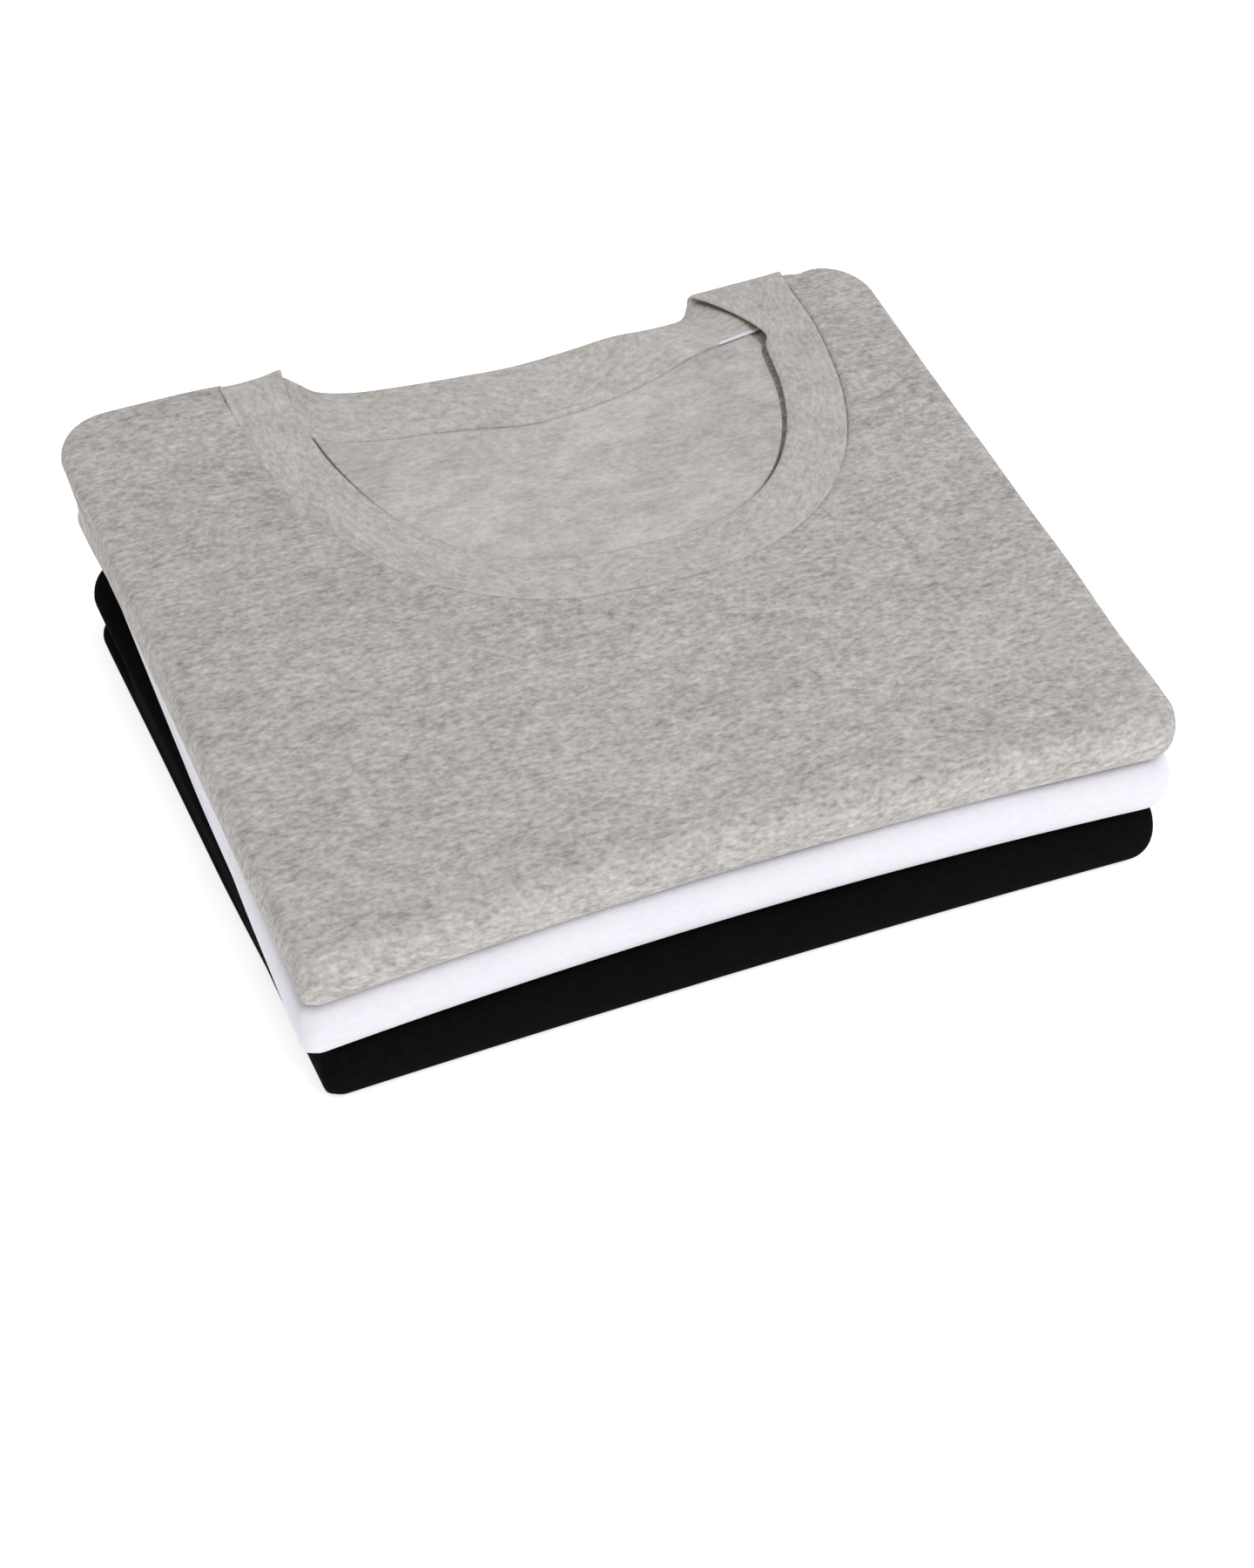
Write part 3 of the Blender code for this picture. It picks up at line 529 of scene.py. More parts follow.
def columns_of(shirt):
    """Outer and inner places and outward directions at each column, the first ones from the left shoulder
    point round the front to the right one, the others back across the neck."""
    outer, inner = shirt_outline(shirt), shirt_outline(shirt, RIM)
    table = np.array([(*p, *q, *d) for (p, d), (q, _) in zip(outer, inner)])
    table = np.vstack((table, table[:1]))
    steps = np.linalg.norm(np.diff(table[:, :2], axis=0), axis=1)
    turns = np.linalg.norm(np.diff(table[:, 4:], axis=0), axis=1)
    right_of, behind, extra = RIPPLED
    steps *= 1.0 + extra * ((table[1:, 0] > right_of) & (table[1:, 1] > behind))
    way = np.concatenate(((0.0,), np.cumsum(steps + CORNER_SHARE * turns)))
    seam = neck_seam(shirt, True)
    back = slice(len(table) - OUTLINE_STEPS[1] - 1, len(table))
    at_right, at_left = [
        np.interp(-x, -table[back, 0], way[back])
        for x in (seam[:, 0].max() + GAP, seam[:, 0].min() - GAP)
    ]
    round_front, across_neck = FINE[shirt["name"]][:2]
    ways = np.concatenate((
        np.linspace(at_left - way[-1], at_right, round_front + 1),
        np.linspace(at_right, at_left, across_neck + 1)[1:-1],
    )) % way[-1]
    return np.stack([np.interp(ways, way, table[:, k]) for k in range(6)], axis=1)


def round_neck(shirt, x, y):
    """The angle round the neck's middle, 0 at the front and positive at the right, and the distance."""
    away_x, away_y = x - shirt["neck_x"], y - shirt["neck_y"] + NECK_CENTRE
    return np.arctan2(away_x, -away_y), np.hypot(away_x, away_y)


def shoulder_seam(shirt, outwards, y):
    """Where the neckline crosses this y at the left shoulder (outwards -1) or the right one (1)."""
    edge = neck_seam(shirt, True)
    side = edge[(edge[:, 0] - shirt["neck_x"]) * outwards > 0.0]
    order = np.argsort(side[:, 1])
    return np.interp(y, side[order, 1], side[order, 0])


def neckline_at(shirt, inner):
    """Where the way from the neck's middle to each of these places crosses the neckline, and its angle."""
    seam = neck_seam(shirt, True)
    angles, radii = round_neck(shirt, seam[:, 0], seam[:, 1])
    order = np.argsort(angles)
    wanted, _ = round_neck(shirt, inner[:, 0], inner[:, 1])
    radius = np.interp(wanted, angles[order], radii[order])
    ahead = np.stack((np.sin(wanted), -np.cos(wanted)), axis=1)
    middle = np.array((shirt["neck_x"], shirt["neck_y"] - NECK_CENTRE))
    return middle + ahead * (radius + GAP)[:, None], wanted


def front_panel(shirt, base):
    name = shirt["name"]
    round_front, _, top_rows = FINE[name]
    table = columns_of(shirt)
    outer, inner, facing = table[:, :2], table[:, 2:4], table[:, 4:]
    profiles = np.array([rim_profile(shirt, o, f) for o, f in zip(outer, facing)])
    for column, outwards in ((0, -1.0), (round_front, 1.0)):
        inner[column, 0] = shoulder_seam(shirt, outwards, inner[column, 1]) + outwards * SHOULDER_GAP
    count = len(table)
    upper = np.arange(count) <= round_front
    line, angle = neckline_at(shirt, inner)
    span = np.linalg.norm(inner - line, axis=1)
    span[~upper] = 1.0
    ahead = (inner - line) / span[:, None]
    depth = np.interp(np.degrees(angle), NECK_ANGLES, GROOVE_DEPTHS)
    near = np.minimum(span / SEAM_NEAR, 1.0)
    rows, uvs = [], []

    def top_level(x, y):
        return base + HEIGHT + rise_at(shirt, x, y) + relief(shirt, x, y)

    lap = SEAM_LAP * (1.0 - np.interp(np.degrees(angle), NECK_ANGLES, EDGE_SHARES))
    for away, share in SEAM_ROWS:
        place = line + ahead * (away * near if away > 0.0 else away - lap)[:, None]
        z = top_level(place[:, 0], place[:, 1])
        down = SEAM_UNDER + depth if share is None else depth * share
        rows.append(np.column_stack((place, z - down)))
        uvs.append(place)
    start = SEAM_ROWS[-1][0] * near
    for k in range(1, top_rows + 1):
        place = line + ahead * mix(start, span, k / top_rows)[:, None]
        rows.append(np.column_stack((place, top_level(place[:, 0], place[:, 1]))))
        uvs.append(place)
    top_count = len(rows)
    outward = outer - inner
    outward /= np.linalg.norm(outward, axis=1)[:, None]
    last, way = rows[-1], np.zeros(count)
    rim_rows = profiles.shape[1]
    for row in range(rim_rows):
        inset, z = profiles[:, row, 0], profiles[:, row, 1]
        place = mix(outer, inner, (inset / RIM)[:, None])
        x, y = place[:, 0], place[:, 1]
        lower = smooth(row - LOWER_FROM)
        fade = smooth((z - HEIGHT + SLOT_BOTTOM) / RISE_OVER)
        raised = fade * (rise_at(shirt, x, y) + relief(shirt, x, y))
        here = np.column_stack((x, y - lower * drawn_back(shirt, x, y), base + z + raised))
        way = way + np.linalg.norm(here - last, axis=1)
        rows.append(here)
        uvs.append(inner + outward * way[:, None])
        last = here
    middle = inner.mean(axis=0)
    for share in UNDERSIDE_RINGS:
        place = mix(middle, inner, share)
        y = place[:, 1] - drawn_back(shirt, place[:, 0], place[:, 1])
        rows.append(np.column_stack((place[:, 0], y, np.full(count, base))))
        uvs.append(place)
    rows, uvs = np.array(rows), np.array(uvs)
    # at the shoulder points the rim goes under the band
    for column, outwards in ((0, -1.0), (round_front, 1.0)):
        rim = slice(top_count, top_count + SLOT_LAST)
        seam = shoulder_seam(shirt, outwards, rows[rim, column, 1])
        rows[rim, column, 0] = seam - outwards * SHOULDER_TUCK
    r, c = np.meshgrid(np.arange(len(rows) - 1), np.arange(count), indexing="ij")
    top_face = r < top_count + SLOT_FIRST
    over_neck = c >= round_front
    keep = ~(top_face & over_neck)
    at_back = facing[:, 1] > FACES_BACK
    open_back = at_back[c] & at_back[(c + 1) % count]
    in_slot = (r >= top_count + SLOT_FIRST) & (r < top_count + SLOT_LAST)
    keep &= ~(in_slot & open_back)
    made = grid_mesh(name + "_front", rows, uvs, keep, close=True)
    thicken(made, SHOWN_CLOTH)
    return made


def shoulder_edge(shirt, x, from_side):
    """The back panel's back edge along Y at this x, this far from the shirt's side."""
    radius = BACK_RADIUS - PANEL_SIDE
    inside = np.clip(BACK_RADIUS - from_side, 0.0, radius)
    drop = radius - np.sqrt(radius**2 - inside**2)
    inset = mix(PANEL_SIDE, PANEL_BACK, smooth((from_side - BACK_RADIUS) / PANEL_EASE))
    return back_at(shirt, x) - inset - drop


BACK_COLUMNS = 150
BACK_ROWS = 80
# The back panel's share of the top face's relief, and from how far aside it is taken
BACK_RELIEF = 0.8
RELIEF_SHIFT = (0.03, 0.05)
# The dark slit under the band's free edge: how far the back panel sags there, how far inside the edge it
# starts at the left and at the right, over what width it falls, how far it goes on under the band, and over
# which part of the neck it is
SLIT_DEPTH = 0.0026
SLIT_REACH = (0.0010, 0.0014)
SLIT_WALL = 0.0005
SLIT_END = 0.0100
SLIT_ANGLES = (-180.0, -135.0, -122.0, -62.0, -40.0, -22.0, 14.0, 30.0, 55.0, 125.0, 135.0, 180.0)
SLIT_SHARES = (0.0, 0.0, 1.0, 1.0, 0.55, 0.0, 0.0, 0.4, 1.0, 1.0, 0.0, 0.0)
# The strip that is drawn finer for it, from the free edge, and the cuts across a face there
SLIT_STRIP = (-0.0034, 0.0016)
SLIT_CUTS = 6


def back_level(shirt, x, y):
    """The height of the back panel's top."""
    aside, along = RELIEF_SHIFT
    level = HEIGHT + rise_at(shirt, x, y) - panel_level(shirt, x, y)
    return level + BACK_RELIEF * relief(shirt, x + aside, y + along)


def back_panel(shirt, base):
    seam = neck_seam(shirt, False)[::-1]
    line = [seam[0]]
    for point in seam:
        if point[0] > line[-1][0] + GAP:
            line.append(point)
    line = np.array(line)
    left, right = shirt["left_back"], shirt["right_back"]
    x = np.linspace(left + PANEL_SIDE, right - PANEL_SIDE, BACK_COLUMNS)
    from_side = np.minimum(x - left, right - x)
    fold = shoulder_edge(shirt, x, from_side)
    in_neck = (x > line[0, 0]) & (x < line[-1, 0])
    edge = np.where(in_neck, np.interp(x, line[:, 0], line[:, 1]) - GAP, fold)
    far = shirt["neck_y"] - PANEL_LENGTH
    shares = np.linspace(0.0, 1.0, BACK_ROWS)
    rows, uvs = [], []
    steps = [(away, share, None) for away, share in SEAM_ROWS]
    steps += [(SEAM_ROWS[-1][0], 0.0, share) for share in shares[1:]]
    for away, groove, share in steps:
        if share is None:
            under = edge - away + (BACK_LAP if away <= 0.0 else 0.0)
            y = np.minimum(under, fold - FOLD_SHARE * (away - SEAM_ROWS[0][0]))
        else:
            y = mix(edge - away, far, share)
        ends = side_at(shirt, "left", y) + PANEL_SIDE, side_at(shirt, "right", y) - PANEL_SIDE
        place = mix(x, mix(*ends, (x - x[0]) / (x[-1] - x[0])), 0.0 if share is None else share)
        down = SEAM_UNDER + BACK_GROOVE if groove is None else BACK_GROOVE * groove
        z = back_level(shirt, place, y) - np.where(in_neck, down, 0.0)
        y = np.where(in_neck | (away > 0.0), y, edge)
        rows.append(np.column_stack((place, y, base + z)))
        uvs.append(np.column_stack((place, y)))
    made = grid_mesh(shirt["name"] + "_back", rows, uvs)
    sink_slit(shirt, made)
    thicken(made, SHOWN_CLOTH)
    return made


def sink_slit(shirt, made):
    """Draws the back panel finer along the band's free edge and lets it sag there."""
    bm = bmesh.new()
    bm.from_mesh(made.data)
    faces = list(bm.faces)
    middles = np.array([face.calc_center_median() for face in faces])
    beyond, share = beyond_free_edge(shirt, middles[:, 0], middles[:, 1])
    near = (share > 0.0) & (beyond > SLIT_STRIP[0]) & (beyond < SLIT_STRIP[1])
    edges = {edge for face, wanted in zip(faces, near) if wanted for edge in face.edges}
    edges = sorted(edges, key=lambda edge: edge.index)
    bmesh.ops.subdivide_edges(bm, edges=edges, cuts=SLIT_CUTS, use_grid_fill=True)
    bm.to_mesh(made.data)
    bm.free()
    points = np.empty(3 * len(made.data.vertices))
    made.data.vertices.foreach_get("co", points)
    points = points.reshape(-1, 3)
    points[:, 2] -= slit(shirt, points[:, 0], points[:, 1])
    made.data.vertices.foreach_set("co", points.reshape(-1))
    made.data.update()


def beyond_free_edge(shirt, x, y):
    """How far these places lie beyond the band's free edge, seen from the neck's middle, and the slit's share
    of its full depth there."""
    free = closed_curve(band_sections(shirt), BAND_STEPS)[:, 1]
    free = free[free[:, 3] >= 0.5]
    angles, radii = round_neck(shirt, free[:, 0], free[:, 1])
    order = np.argsort(angles)
    angle, radius = round_neck(shirt, x, y)
    beyond = radius - np.interp(angle, angles[order], radii[order])
    return beyond, np.interp(np.degrees(angle), SLIT_ANGLES, SLIT_SHARES)


def slit(shirt, x, y):
    """How far the back panel sags under the band's free edge."""
    beyond, share = beyond_free_edge(shirt, x, y)
    reach = np.where(x < shirt["neck_x"], *SLIT_REACH) * np.sqrt(share)
    falls = smooth((beyond + reach) / SLIT_WALL + 0.5) * smooth((SLIT_END - beyond) / SLIT_REACH[1])
    return SLIT_DEPTH * share * falls


def neckband(shirt, base):
    sections = closed_curve(band_sections(shirt), BAND_STEPS)
    seam, free = sections[:, 0, :3], sections[:, 1, :3]
    middle = 0.5 * (seam + free)
    ahead = np.roll(middle, -1, axis=0) - np.roll(middle, 1, axis=0)
    normal = np.cross(ahead, free - seam)
    normal /= np.linalg.norm(normal, axis=1)[:, None]
    width = np.linalg.norm(free - seam, axis=1)
    along = np.concatenate(((0.0,), np.cumsum(np.linalg.norm(np.diff(middle, axis=0), axis=1))))
    rows, uvs = [], []
    profile = [(away, up, k >= len(BAND_TOP) // 2) for k, (away, up) in enumerate(BAND_TOP)]
    profile += [(away, up, away < 0.0) for away, up in BAND_BOTTOM]
    profile.append(profile[0])
    over = sections[:, 0, 3]
    angle, _ = round_neck(shirt, seam[:, 0], seam[:, 1])
    rounded = mix(EDGE_AT_BACK, np.interp(np.degrees(angle), NECK_ANGLES, EDGE_SHARES), over)
    sag = np.where(seam[:, 0] < shirt["neck_x"], *SHOULDER_SAG) * shirt["stand"] * over
    sag = sag * smooth((middle[:, 1] - shirt["neck_y"] + SHOULDER_LINE - SAG_FROM) / SAG_OVER)
    for k, (away, up, from_free) in enumerate(profile):
        scale = np.minimum(width / FULL_WIDTH, 1.0)
        share = (width + away * scale) / width if from_free else away * scale / width
        if k < EDGE_POINTS or k == len(profile) - 1:
            up = mix(1.0, up, rounded)
        lift = (0.5 * RIB * up * np.ones(len(seam)))[:, None]
        point = seam + (free - seam) * share[:, None] + normal * lift
        point[:, 2] -= sag * 4.0 * share * (1.0 - share)
        point[:, 2] += base + HEIGHT
        point[:, 2] += relief(shirt, point[:, 0], point[:, 1]) * mix(UNDER_RELIEF, 1.0, over)
        rows.append(point)
        uvs.append(np.column_stack((along, share * width)))
    rows, uvs = np.array(rows), np.array(uvs)
    rows = np.concatenate((rows, rows[:, :1]), axis=1)
    uvs = np.concatenate((uvs, uvs[:, :1] + np.array((along[-1] + along[1], 0.0))), axis=1)
    made = grid_mesh(shirt["name"] + "_band", rows[:, ::-1], uvs[:, ::-1])
    weld(made)
    return made


# The white tape end in the back neck seam: from where to where (X), how wide it shows at its ends, how far it
# goes under the band, and its thickness
TAPE_FROM, TAPE_TO = 0.0900, 0.1170
TAPE_SHOWS = (0.0003, 0.0012)
TAPE_UNDER = 0.0050
TAPE_THICK = 0.0007
TAPE_STEPS = 28
TAPE_SECTION = ((0.0, 0.6), (0.4, 0.8), (0.8, 1.2), (0.93, 1.15), (1.0, 0.8))   # share across, thicknesses up


def neck_tape(shirt, base):
    """The end of a white tape that shows as a thin edge along the back neck seam."""
    seam = neck_seam(shirt, False)
    order = np.argsort(seam[:, 0])
    x = np.linspace(TAPE_FROM, TAPE_TO, TAPE_STEPS)
    line = np.interp(x, seam[order, 0], seam[order, 1])
    shows = np.linspace(*TAPE_SHOWS, TAPE_STEPS)
    floor = base + back_level(shirt, x, line)
    rows, uvs = [], []
    for across, up in TAPE_SECTION:
        y = line + TAPE_UNDER - across * (TAPE_UNDER + shows)
        rows.append(np.column_stack((x, y, floor + up * TAPE_THICK)))
        uvs.append(np.column_stack((x, y)))
    made = grid_mesh(shirt["name"] + "_tape", rows, uvs)
    thicken(made, TAPE_THICK)
    return made


def sleeve(shirt, base, side):
    """A sleeve pressed flat and turned down along the shirt's side: two layers with rolled edges."""
    back = shirt["back_" + side] - SLEEVE_BACK
    cuff = back - SLEEVE_LENGTH
    inward = 1.0 if side == "left" else -1.0
    outer_back = side_at(shirt, side, back) + inward * SLEEVE_SIDE
    outer_cuff = side_at(shirt, side, cuff) + inward * SLEEVE_SIDE
    corners = [
        (outer_back, back, SLEEVE_RADIUS),
        (outer_cuff, cuff, SLEEVE_RADIUS),
        (outer_cuff + inward * SLEEVE_CUFF_WIDTH, cuff, SLEEVE_RADIUS),
        (outer_back + inward * SLEEVE_WIDTH, back, SLEEVE_RADIUS),
    ]
    if side == "right":
        corners.reverse()
    outline = rounded_outline(corners, SLEEVE_STEPS, SLEEVE_CORNER)
    points, facing = [np.array(values) for values in zip(*outline)]
    floor = base + HEIGHT - LAYERS_LEVEL + GAP
    half, reach = 0.5 * SLEEVE_THICK, SLEEVE_REACH * SLEEVE_THICK
    rolls = roll(SLEEVE_THICK, half, 0.0, reach, SLEEVE_POINTS)[:-1]
    rolls += roll(half, 0.0, 0.0, reach, SLEEVE_POINTS)
    middle = points.mean(axis=0)
    rows, uvs = [], []

    def ring(place, z):
        rows.append(np.column_stack((place, np.full(len(points), floor + z))))
        uvs.append(place)

    for share in SLEEVE_RINGS:
        ring(mix(middle, points, share), SLEEVE_THICK)
    for inset, z in rolls:
        ring(points - facing * inset, z)
    for share in reversed(SLEEVE_RINGS):
        ring(mix(middle, points, share), 0.0)
    return grid_mesh(f"{shirt['name']}_sleeve_{side}_cloth", rows, uvs, close=True)


def folded_layers(shirt, base):
    """The folded lower body: rolled edges one above the other where the slot shows them."""
    table = columns_of(shirt)[::LAYER_STEP]
    outer, inner, facing = table[:, :2], table[:, 2:4], table[:, 4:]
    back = smooth((facing[:, 1] - LAYERS_TURN) / (1.0 - LAYERS_TURN))
    middle = inner.mean(axis=0)
    rows = []

    def ring(place, z):
        y = place[:, 1] - drawn_back(shirt, place[:, 0], place[:, 1])
        rows.append(np.column_stack((place[:, 0], y, np.full(len(place), base + z))))

    def edge(at_side, at_back, z):
        ring(mix(outer, inner, (mix(at_side, at_back, back) / RIM)[:, None]), z)

    for share in LAYER_RINGS:
        ring(mix(middle, inner, share), HEIGHT - LAYER_EDGES[0][0])
    for level, at_side, at_back, height in LAYER_EDGES:
        for out, z in roll(HEIGHT - level, HEIGHT - level - height, 0.0, height, LAYER_POINTS):
            edge(at_side + LAYER_REACH[0] * out, at_back + LAYER_REACH[1] * out, z)
    edge(LAYERS_SIDE, LAYERS_BACK, HEIGHT - LAYER_EDGES[-1][0] - LAYER_EDGES[-1][3])
    edge(LAYERS_SIDE, LAYERS_BACK, LAYERS_DEEP[0])
    edge(LAYERS_DEEP[1], LAYERS_DEEP[2], CLOTH + GAP)
    for share in reversed(LAYER_RINGS):
        ring(mix(middle, inner, share), CLOTH + GAP)
    rows = np.array(rows)
    uvs = rows[:, :, :2] + rows[:, :, 2:]
    return grid_mesh(shirt["name"] + "_layers", rows, uvs, close=True)


def new_material(name):
    material = bpy.data.materials.new(name)
    material.use_nodes = True
    return material, material.node_tree


def fill(tree, node, inputs):
    """Gives each of these inputs its value, or links it where that is another node's output."""
    for key, value in inputs.items():
        if isinstance(value, bpy.types.NodeSocket):
            tree.links.new(value, node.inputs[key])
        else:
            node.inputs[key].default_value = value


def add(tree, kind, inputs=None, **settings):
    node = tree.nodes.new("ShaderNode" + kind)
    for key, value in settings.items():
        setattr(node, key, value)
    fill(tree, node, inputs or {})
    return node


def stretched_noise(tree, source, size, detail, turn, offset):
    """Noise whose spots are as long and as wide as these, in metres."""
    mapped = add(tree, "Mapping", {
        "Vector": source,
        "Scale": (1.0 / size[0], 1.0 / size[1], 1.0),
        "Rotation": (0.0, 0.0, math.radians(turn)),
        "Location": (*offset, 0.0),
    })
    where = mapped.outputs["Vector"]
    values = {"Vector": where, "Scale": 1.0, "Detail": detail, "Roughness": NOISE_ROUGHNESS}
    return add(tree, "TexNoise", values, noise_dimensions="2D").outputs["Fac"]


def ramp(tree, value, stops):
    """Colours between these two (position, colour) stops."""
    node = add(tree, "ValToRGB", {"Fac": value})
    for element, (position, colour) in zip(node.color_ramp.elements, stops):
        element.position = position
        element.color = (*colour, 1.0)
    return node.outputs["Color"]


def multiplied(tree, first, second):
    node = add(tree, "Mix", {"Factor": 1.0}, data_type="RGBA", blend_type="MULTIPLY")
    sockets = [socket for socket in node.inputs if socket.type == "RGBA"]
    for colour, socket in zip((first, second), sockets):
        tree.links.new(colour, socket)
    return [socket for socket in node.outputs if socket.type == "RGBA"][0]


def arithmetic(tree, kind, first, second):
    return add(tree, "Math", {0: first, 1: second}, operation=kind).outputs[0]


def knit(tree, source, pitch):
    """Rows of knit loops this far apart."""
    size = WAVE_REPEAT / pitch
    where = add(tree, "Mapping", {"Vector": source, "Scale": (size, size, 1.0)}).outputs["Vector"]
    values = {"Vector": where, "Scale": 1.0, "Distortion": KNIT_WANDER, "Detail": 1.0}
    return add(tree, "TexWave", values, wave_type="BANDS", bands_direction="X").outputs["Fac"]


# The fibres' flecks, the finer specks, the clouds and the slow drift of the marl: length, width, detail, turn
# in degrees and offset
FLECKS = ((0.0044, 0.0021), 2.0, 2.0, (0.0, 0.0))
SPECKS = ((0.0020, 0.0013), 1.0, -4.0, (3.1, 7.7))
CLOUDS = ((0.0130, 0.0075), 2.0, 3.0, (11.0, 2.0))
DRIFT = ((0.0520, 0.0340), 2.0, 0.0, (5.0, 9.0))
OUTSIDE = (0.52, 0.36, 0.26, 0.13)   # how much each of those counts on the cloth's outside
INSIDE = (0.28, 0.20, 0.28, 0.22)    # and on its inside
PATCHES = ((0.034, 0.016), 3.0, 0.0, (1.0, 22.0))   # of warmer and cooler yarn
PATCH_STOPS = (0.38, 0.62)
NOISE_ROUGHNESS = 0.55
RAMP_HALF = 0.30          # how far from its middle the sum is darkest and lightest
WAVE_REPEAT = 2.0 * math.pi / 20.0   # how far apart the bands of a wave texture of scale 1 are
KNIT_WANDER = 0.6
JERSEY_LOOPS = (0.0007, 0.25)        # pitch and height
RIB_LOOPS = (0.0011, 0.5)
BUMP = {"Strength": 0.35, "Distance": 0.0004}
SHEEN_ROUGHNESS = 0.55


def jersey(name, middle, swing, tints, shares, finish, loops):
    """Knitted cotton: fibres in darker and lighter tones along the rows, patches of warmer and cooler yarn,
    and loops as bump."""
    material, tree = new_material(name)
    uv = add(tree, "UVMap", uv_map="cloth").outputs["UV"]
    total = 0.5 * (1.0 - sum(shares))
    for spots, share in zip((FLECKS, SPECKS, CLOUDS, DRIFT), shares):
        counted = arithmetic(tree, "MULTIPLY", stretched_noise(tree, uv, *spots), share)
        total = arithmetic(tree, "ADD", counted, total)
    dark, light = [tuple(value * (1.0 + sign * swing) for value in middle) for sign in (-1.0, 1.0)]
    fibres = ramp(tree, total, ((0.5 - RAMP_HALF, dark), (0.5 + RAMP_HALF, light)))
    tint = ramp(tree, stretched_noise(tree, uv, *PATCHES), zip(PATCH_STOPS, tints))
    pitch, high = loops
    loop_height = arithmetic(tree, "MULTIPLY", knit(tree, uv, pitch), high)
    height = arithmetic(tree, "ADD", total, loop_height)
    bump = add(tree, "Bump", {**BUMP, "Height": height})
    fill(tree, tree.nodes["Principled BSDF"], {
        **finish,
        "Sheen Roughness": SHEEN_ROUGHNESS,
        "Base Color": multiplied(tree, fibres, tint),
        "Normal": bump.outputs["Normal"],
    })
    return material


# The cooler and the warmer tint of each yarn
GREY_TINTS = ((0.982, 0.994, 1.0), (1.0, 0.991, 0.974))
WHITE_TINTS = ((0.990, 0.990, 1.0), (1.0, 1.0, 1.0))
NO_TINTS = ((1.0, 1.0, 1.0), (1.0, 1.0, 1.0))
COTTON = {"Roughness": 0.95, "Specular IOR Level": 0.10, "Sheen Weight": 0.02}
DEEP_COTTON = {"Roughness": 1.0, "Specular IOR Level": 0.02, "Sheen Weight": 0.0}
WHITE = (0.730, 0.725, 0.775)
BLACK = (0.0040, 0.0040, 0.0042)
# Each shirt's yarn: its name, the colour and contrast of its outside, its rib and its inside, and the rest.
# The grey's inside, the back panel seen through the neck, is drawn a lighter grey than its outside
YARNS = {
    "grey": (
        "grey_marl",
        (((0.4433, 0.4207, 0.4071), 0.49), ((0.480, 0.456, 0.441), 0.34), ((0.505, 0.477, 0.465), 0.46)),
        GREY_TINTS,
        COTTON,
    ),
    "white": ("white_cotton", ((WHITE, 0.05), (WHITE, 0.05), (WHITE, 0.04)), WHITE_TINTS, COTTON),
    "black": ("black_cotton", ((BLACK, 0.30), (BLACK, 0.30), (BLACK, 0.30)), NO_TINTS, DEEP_COTTON),
}
SURFACES = (("jersey", OUTSIDE, JERSEY_LOOPS), ("rib", OUTSIDE, RIB_LOOPS), ("inside", INSIDE, JERSEY_LOOPS))
MATERIALS = {
    shirt: [
        jersey(f"{yarn}_{surface}", *colour, tints, shares, finish, loops)
        for (surface, shares, loops), colour in zip(SURFACES, colours)
    ]
    for shirt, (yarn, colours, tints, finish) in YARNS.items()
}


def take(piece, node, material):
    """The piece stands for this node."""
    piece.data.materials.clear()
    piece.data.materials.append(material)
    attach(piece, "root")
    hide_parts(node)


def build(shirt, base):
    name = shirt["name"]
    cloth, rib, inside = MATERIALS[name]
    front = front_panel(shirt, base)
    back = back_panel(shirt, base)
    band = neckband(shirt, base)
    layers = folded_layers(shirt, base)
    take(front, name + "_front_panel", cloth)
    take(back, name + "_back_panel", inside)
    take(band, name + "_neckband", rib)
    take(layers, name + "_folded_layers", cloth)
    if name == "grey":
        tape = neck_tape(shirt, base)
        tape.data.materials.append(MATERIALS["white"][0])
        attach(tape, "root")
    for side in SIDES:
        piece = sleeve(shirt, base, side)
        take(piece, f"{name}_sleeve_{side}", cloth)


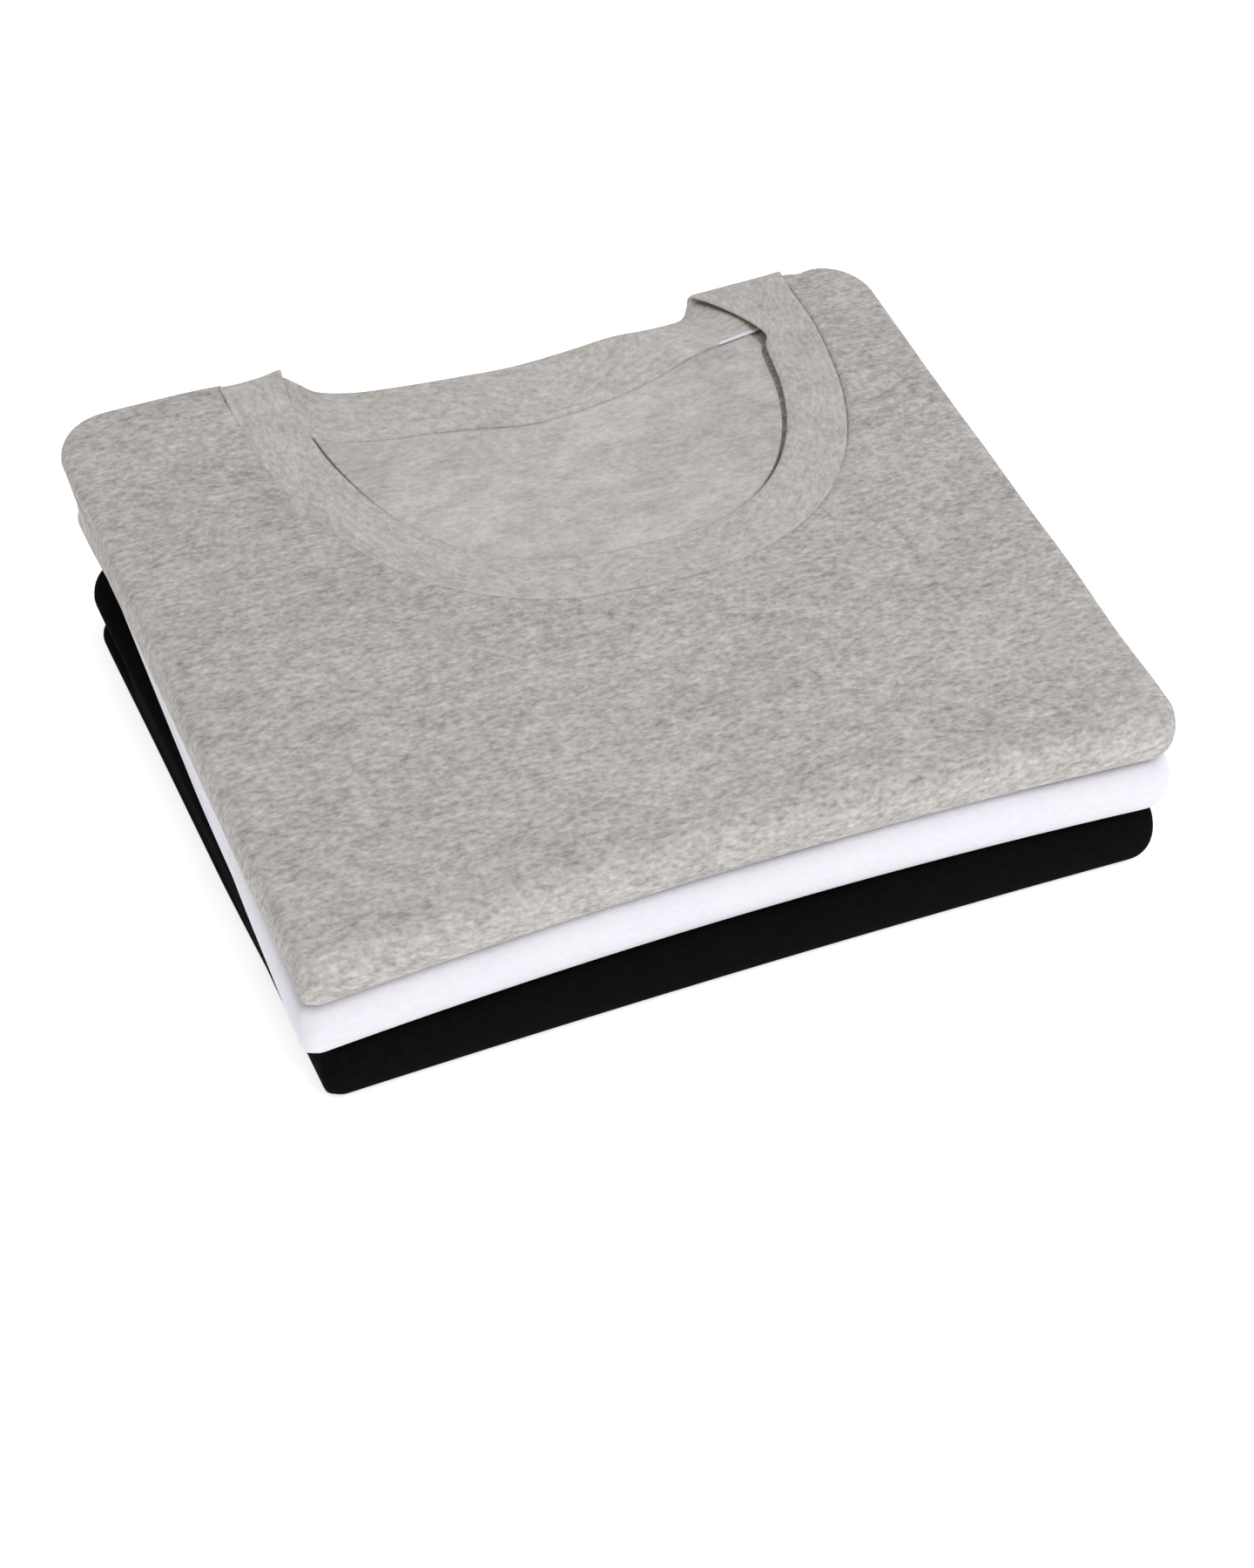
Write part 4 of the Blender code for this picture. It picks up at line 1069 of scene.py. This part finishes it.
LENS = 60.0
CAMERA_PLACE = (-0.2386, -0.63126, 0.60072)  # from the stack's plan origin
CAMERA_DOWN = 0.76077
CAMERA_ASIDE = 0.37797
LIT = (1.0, 1.0, 1.0, 1.0)
WORLD = {"Color": LIT, "Strength": 0.65}
TABLE_HALF = 6.0
TABLE = {
    "Base Color": (0.9, 0.9, 0.9, 1.0),
    "Roughness": 0.9,
    "Specular IOR Level": 0.0,
    "Emission Color": LIT,
    "Emission Strength": 0.60,
}
KEY_PLACE = (0.45, -0.85, 1.30)
KEY_AIM = (0.0, 0.0, 0.03)
KEY_SIZE = 1.0
KEY_POWER = 11.3


def surroundings():
    scene = bpy.context.scene
    world = bpy.data.worlds.new("studio")
    scene.world = world
    world.use_nodes = True
    fill(world.node_tree, world.node_tree.nodes["Background"], WORLD)
    mesh = bpy.data.meshes.new("table")
    corners = [(x * TABLE_HALF, y * TABLE_HALF, 0.0) for x, y in ((-1, -1), (1, -1), (1, 1), (-1, 1))]
    mesh.from_pydata(corners, [], [(0, 1, 2, 3)])
    table = bpy.data.objects.new("table", mesh)
    scene.collection.objects.link(table)
    material, tree = new_material("pale_table")
    fill(tree, tree.nodes["Principled BSDF"], TABLE)
    mesh.materials.append(material)
    add_key_light()
    scene.view_settings.view_transform = "Standard"
    data = bpy.data.cameras.new("camera")
    data.lens = LENS
    camera = bpy.data.objects.new("camera", data)
    scene.collection.objects.link(camera)
    place = Vector(CAMERA_PLACE) - Vector((*centre, 0.0))
    turn = Euler((0.5 * math.pi - CAMERA_DOWN, 0.0, -CAMERA_ASIDE))
    camera.matrix_world = Matrix.LocRotScale(place, turn, None)
    scene.camera = camera


def add_key_light():
    data = bpy.data.lights.new("key", "AREA")
    data.shape = "DISK"
    data.size = KEY_SIZE
    data.energy = KEY_POWER
    lamp = bpy.data.objects.new("key", data)
    bpy.context.scene.collection.objects.link(lamp)
    lamp.location = KEY_PLACE
    lamp.rotation_euler = (Vector(KEY_AIM) - Vector(KEY_PLACE)).to_track_quat("-Z", "Y").to_euler()


shirts = [dict(zip(SHIRT_COLUMNS, row)) for row in SHIRTS]
footprint = np.array([point for shirt in shirts for point, _ in shirt_outline(shirt)])
centre = 0.5 * (footprint.min(axis=0) + footprint.max(axis=0))
surroundings()
for index, shirt in enumerate(shirts):
    build(shirt, index * (HEIGHT + GAP))
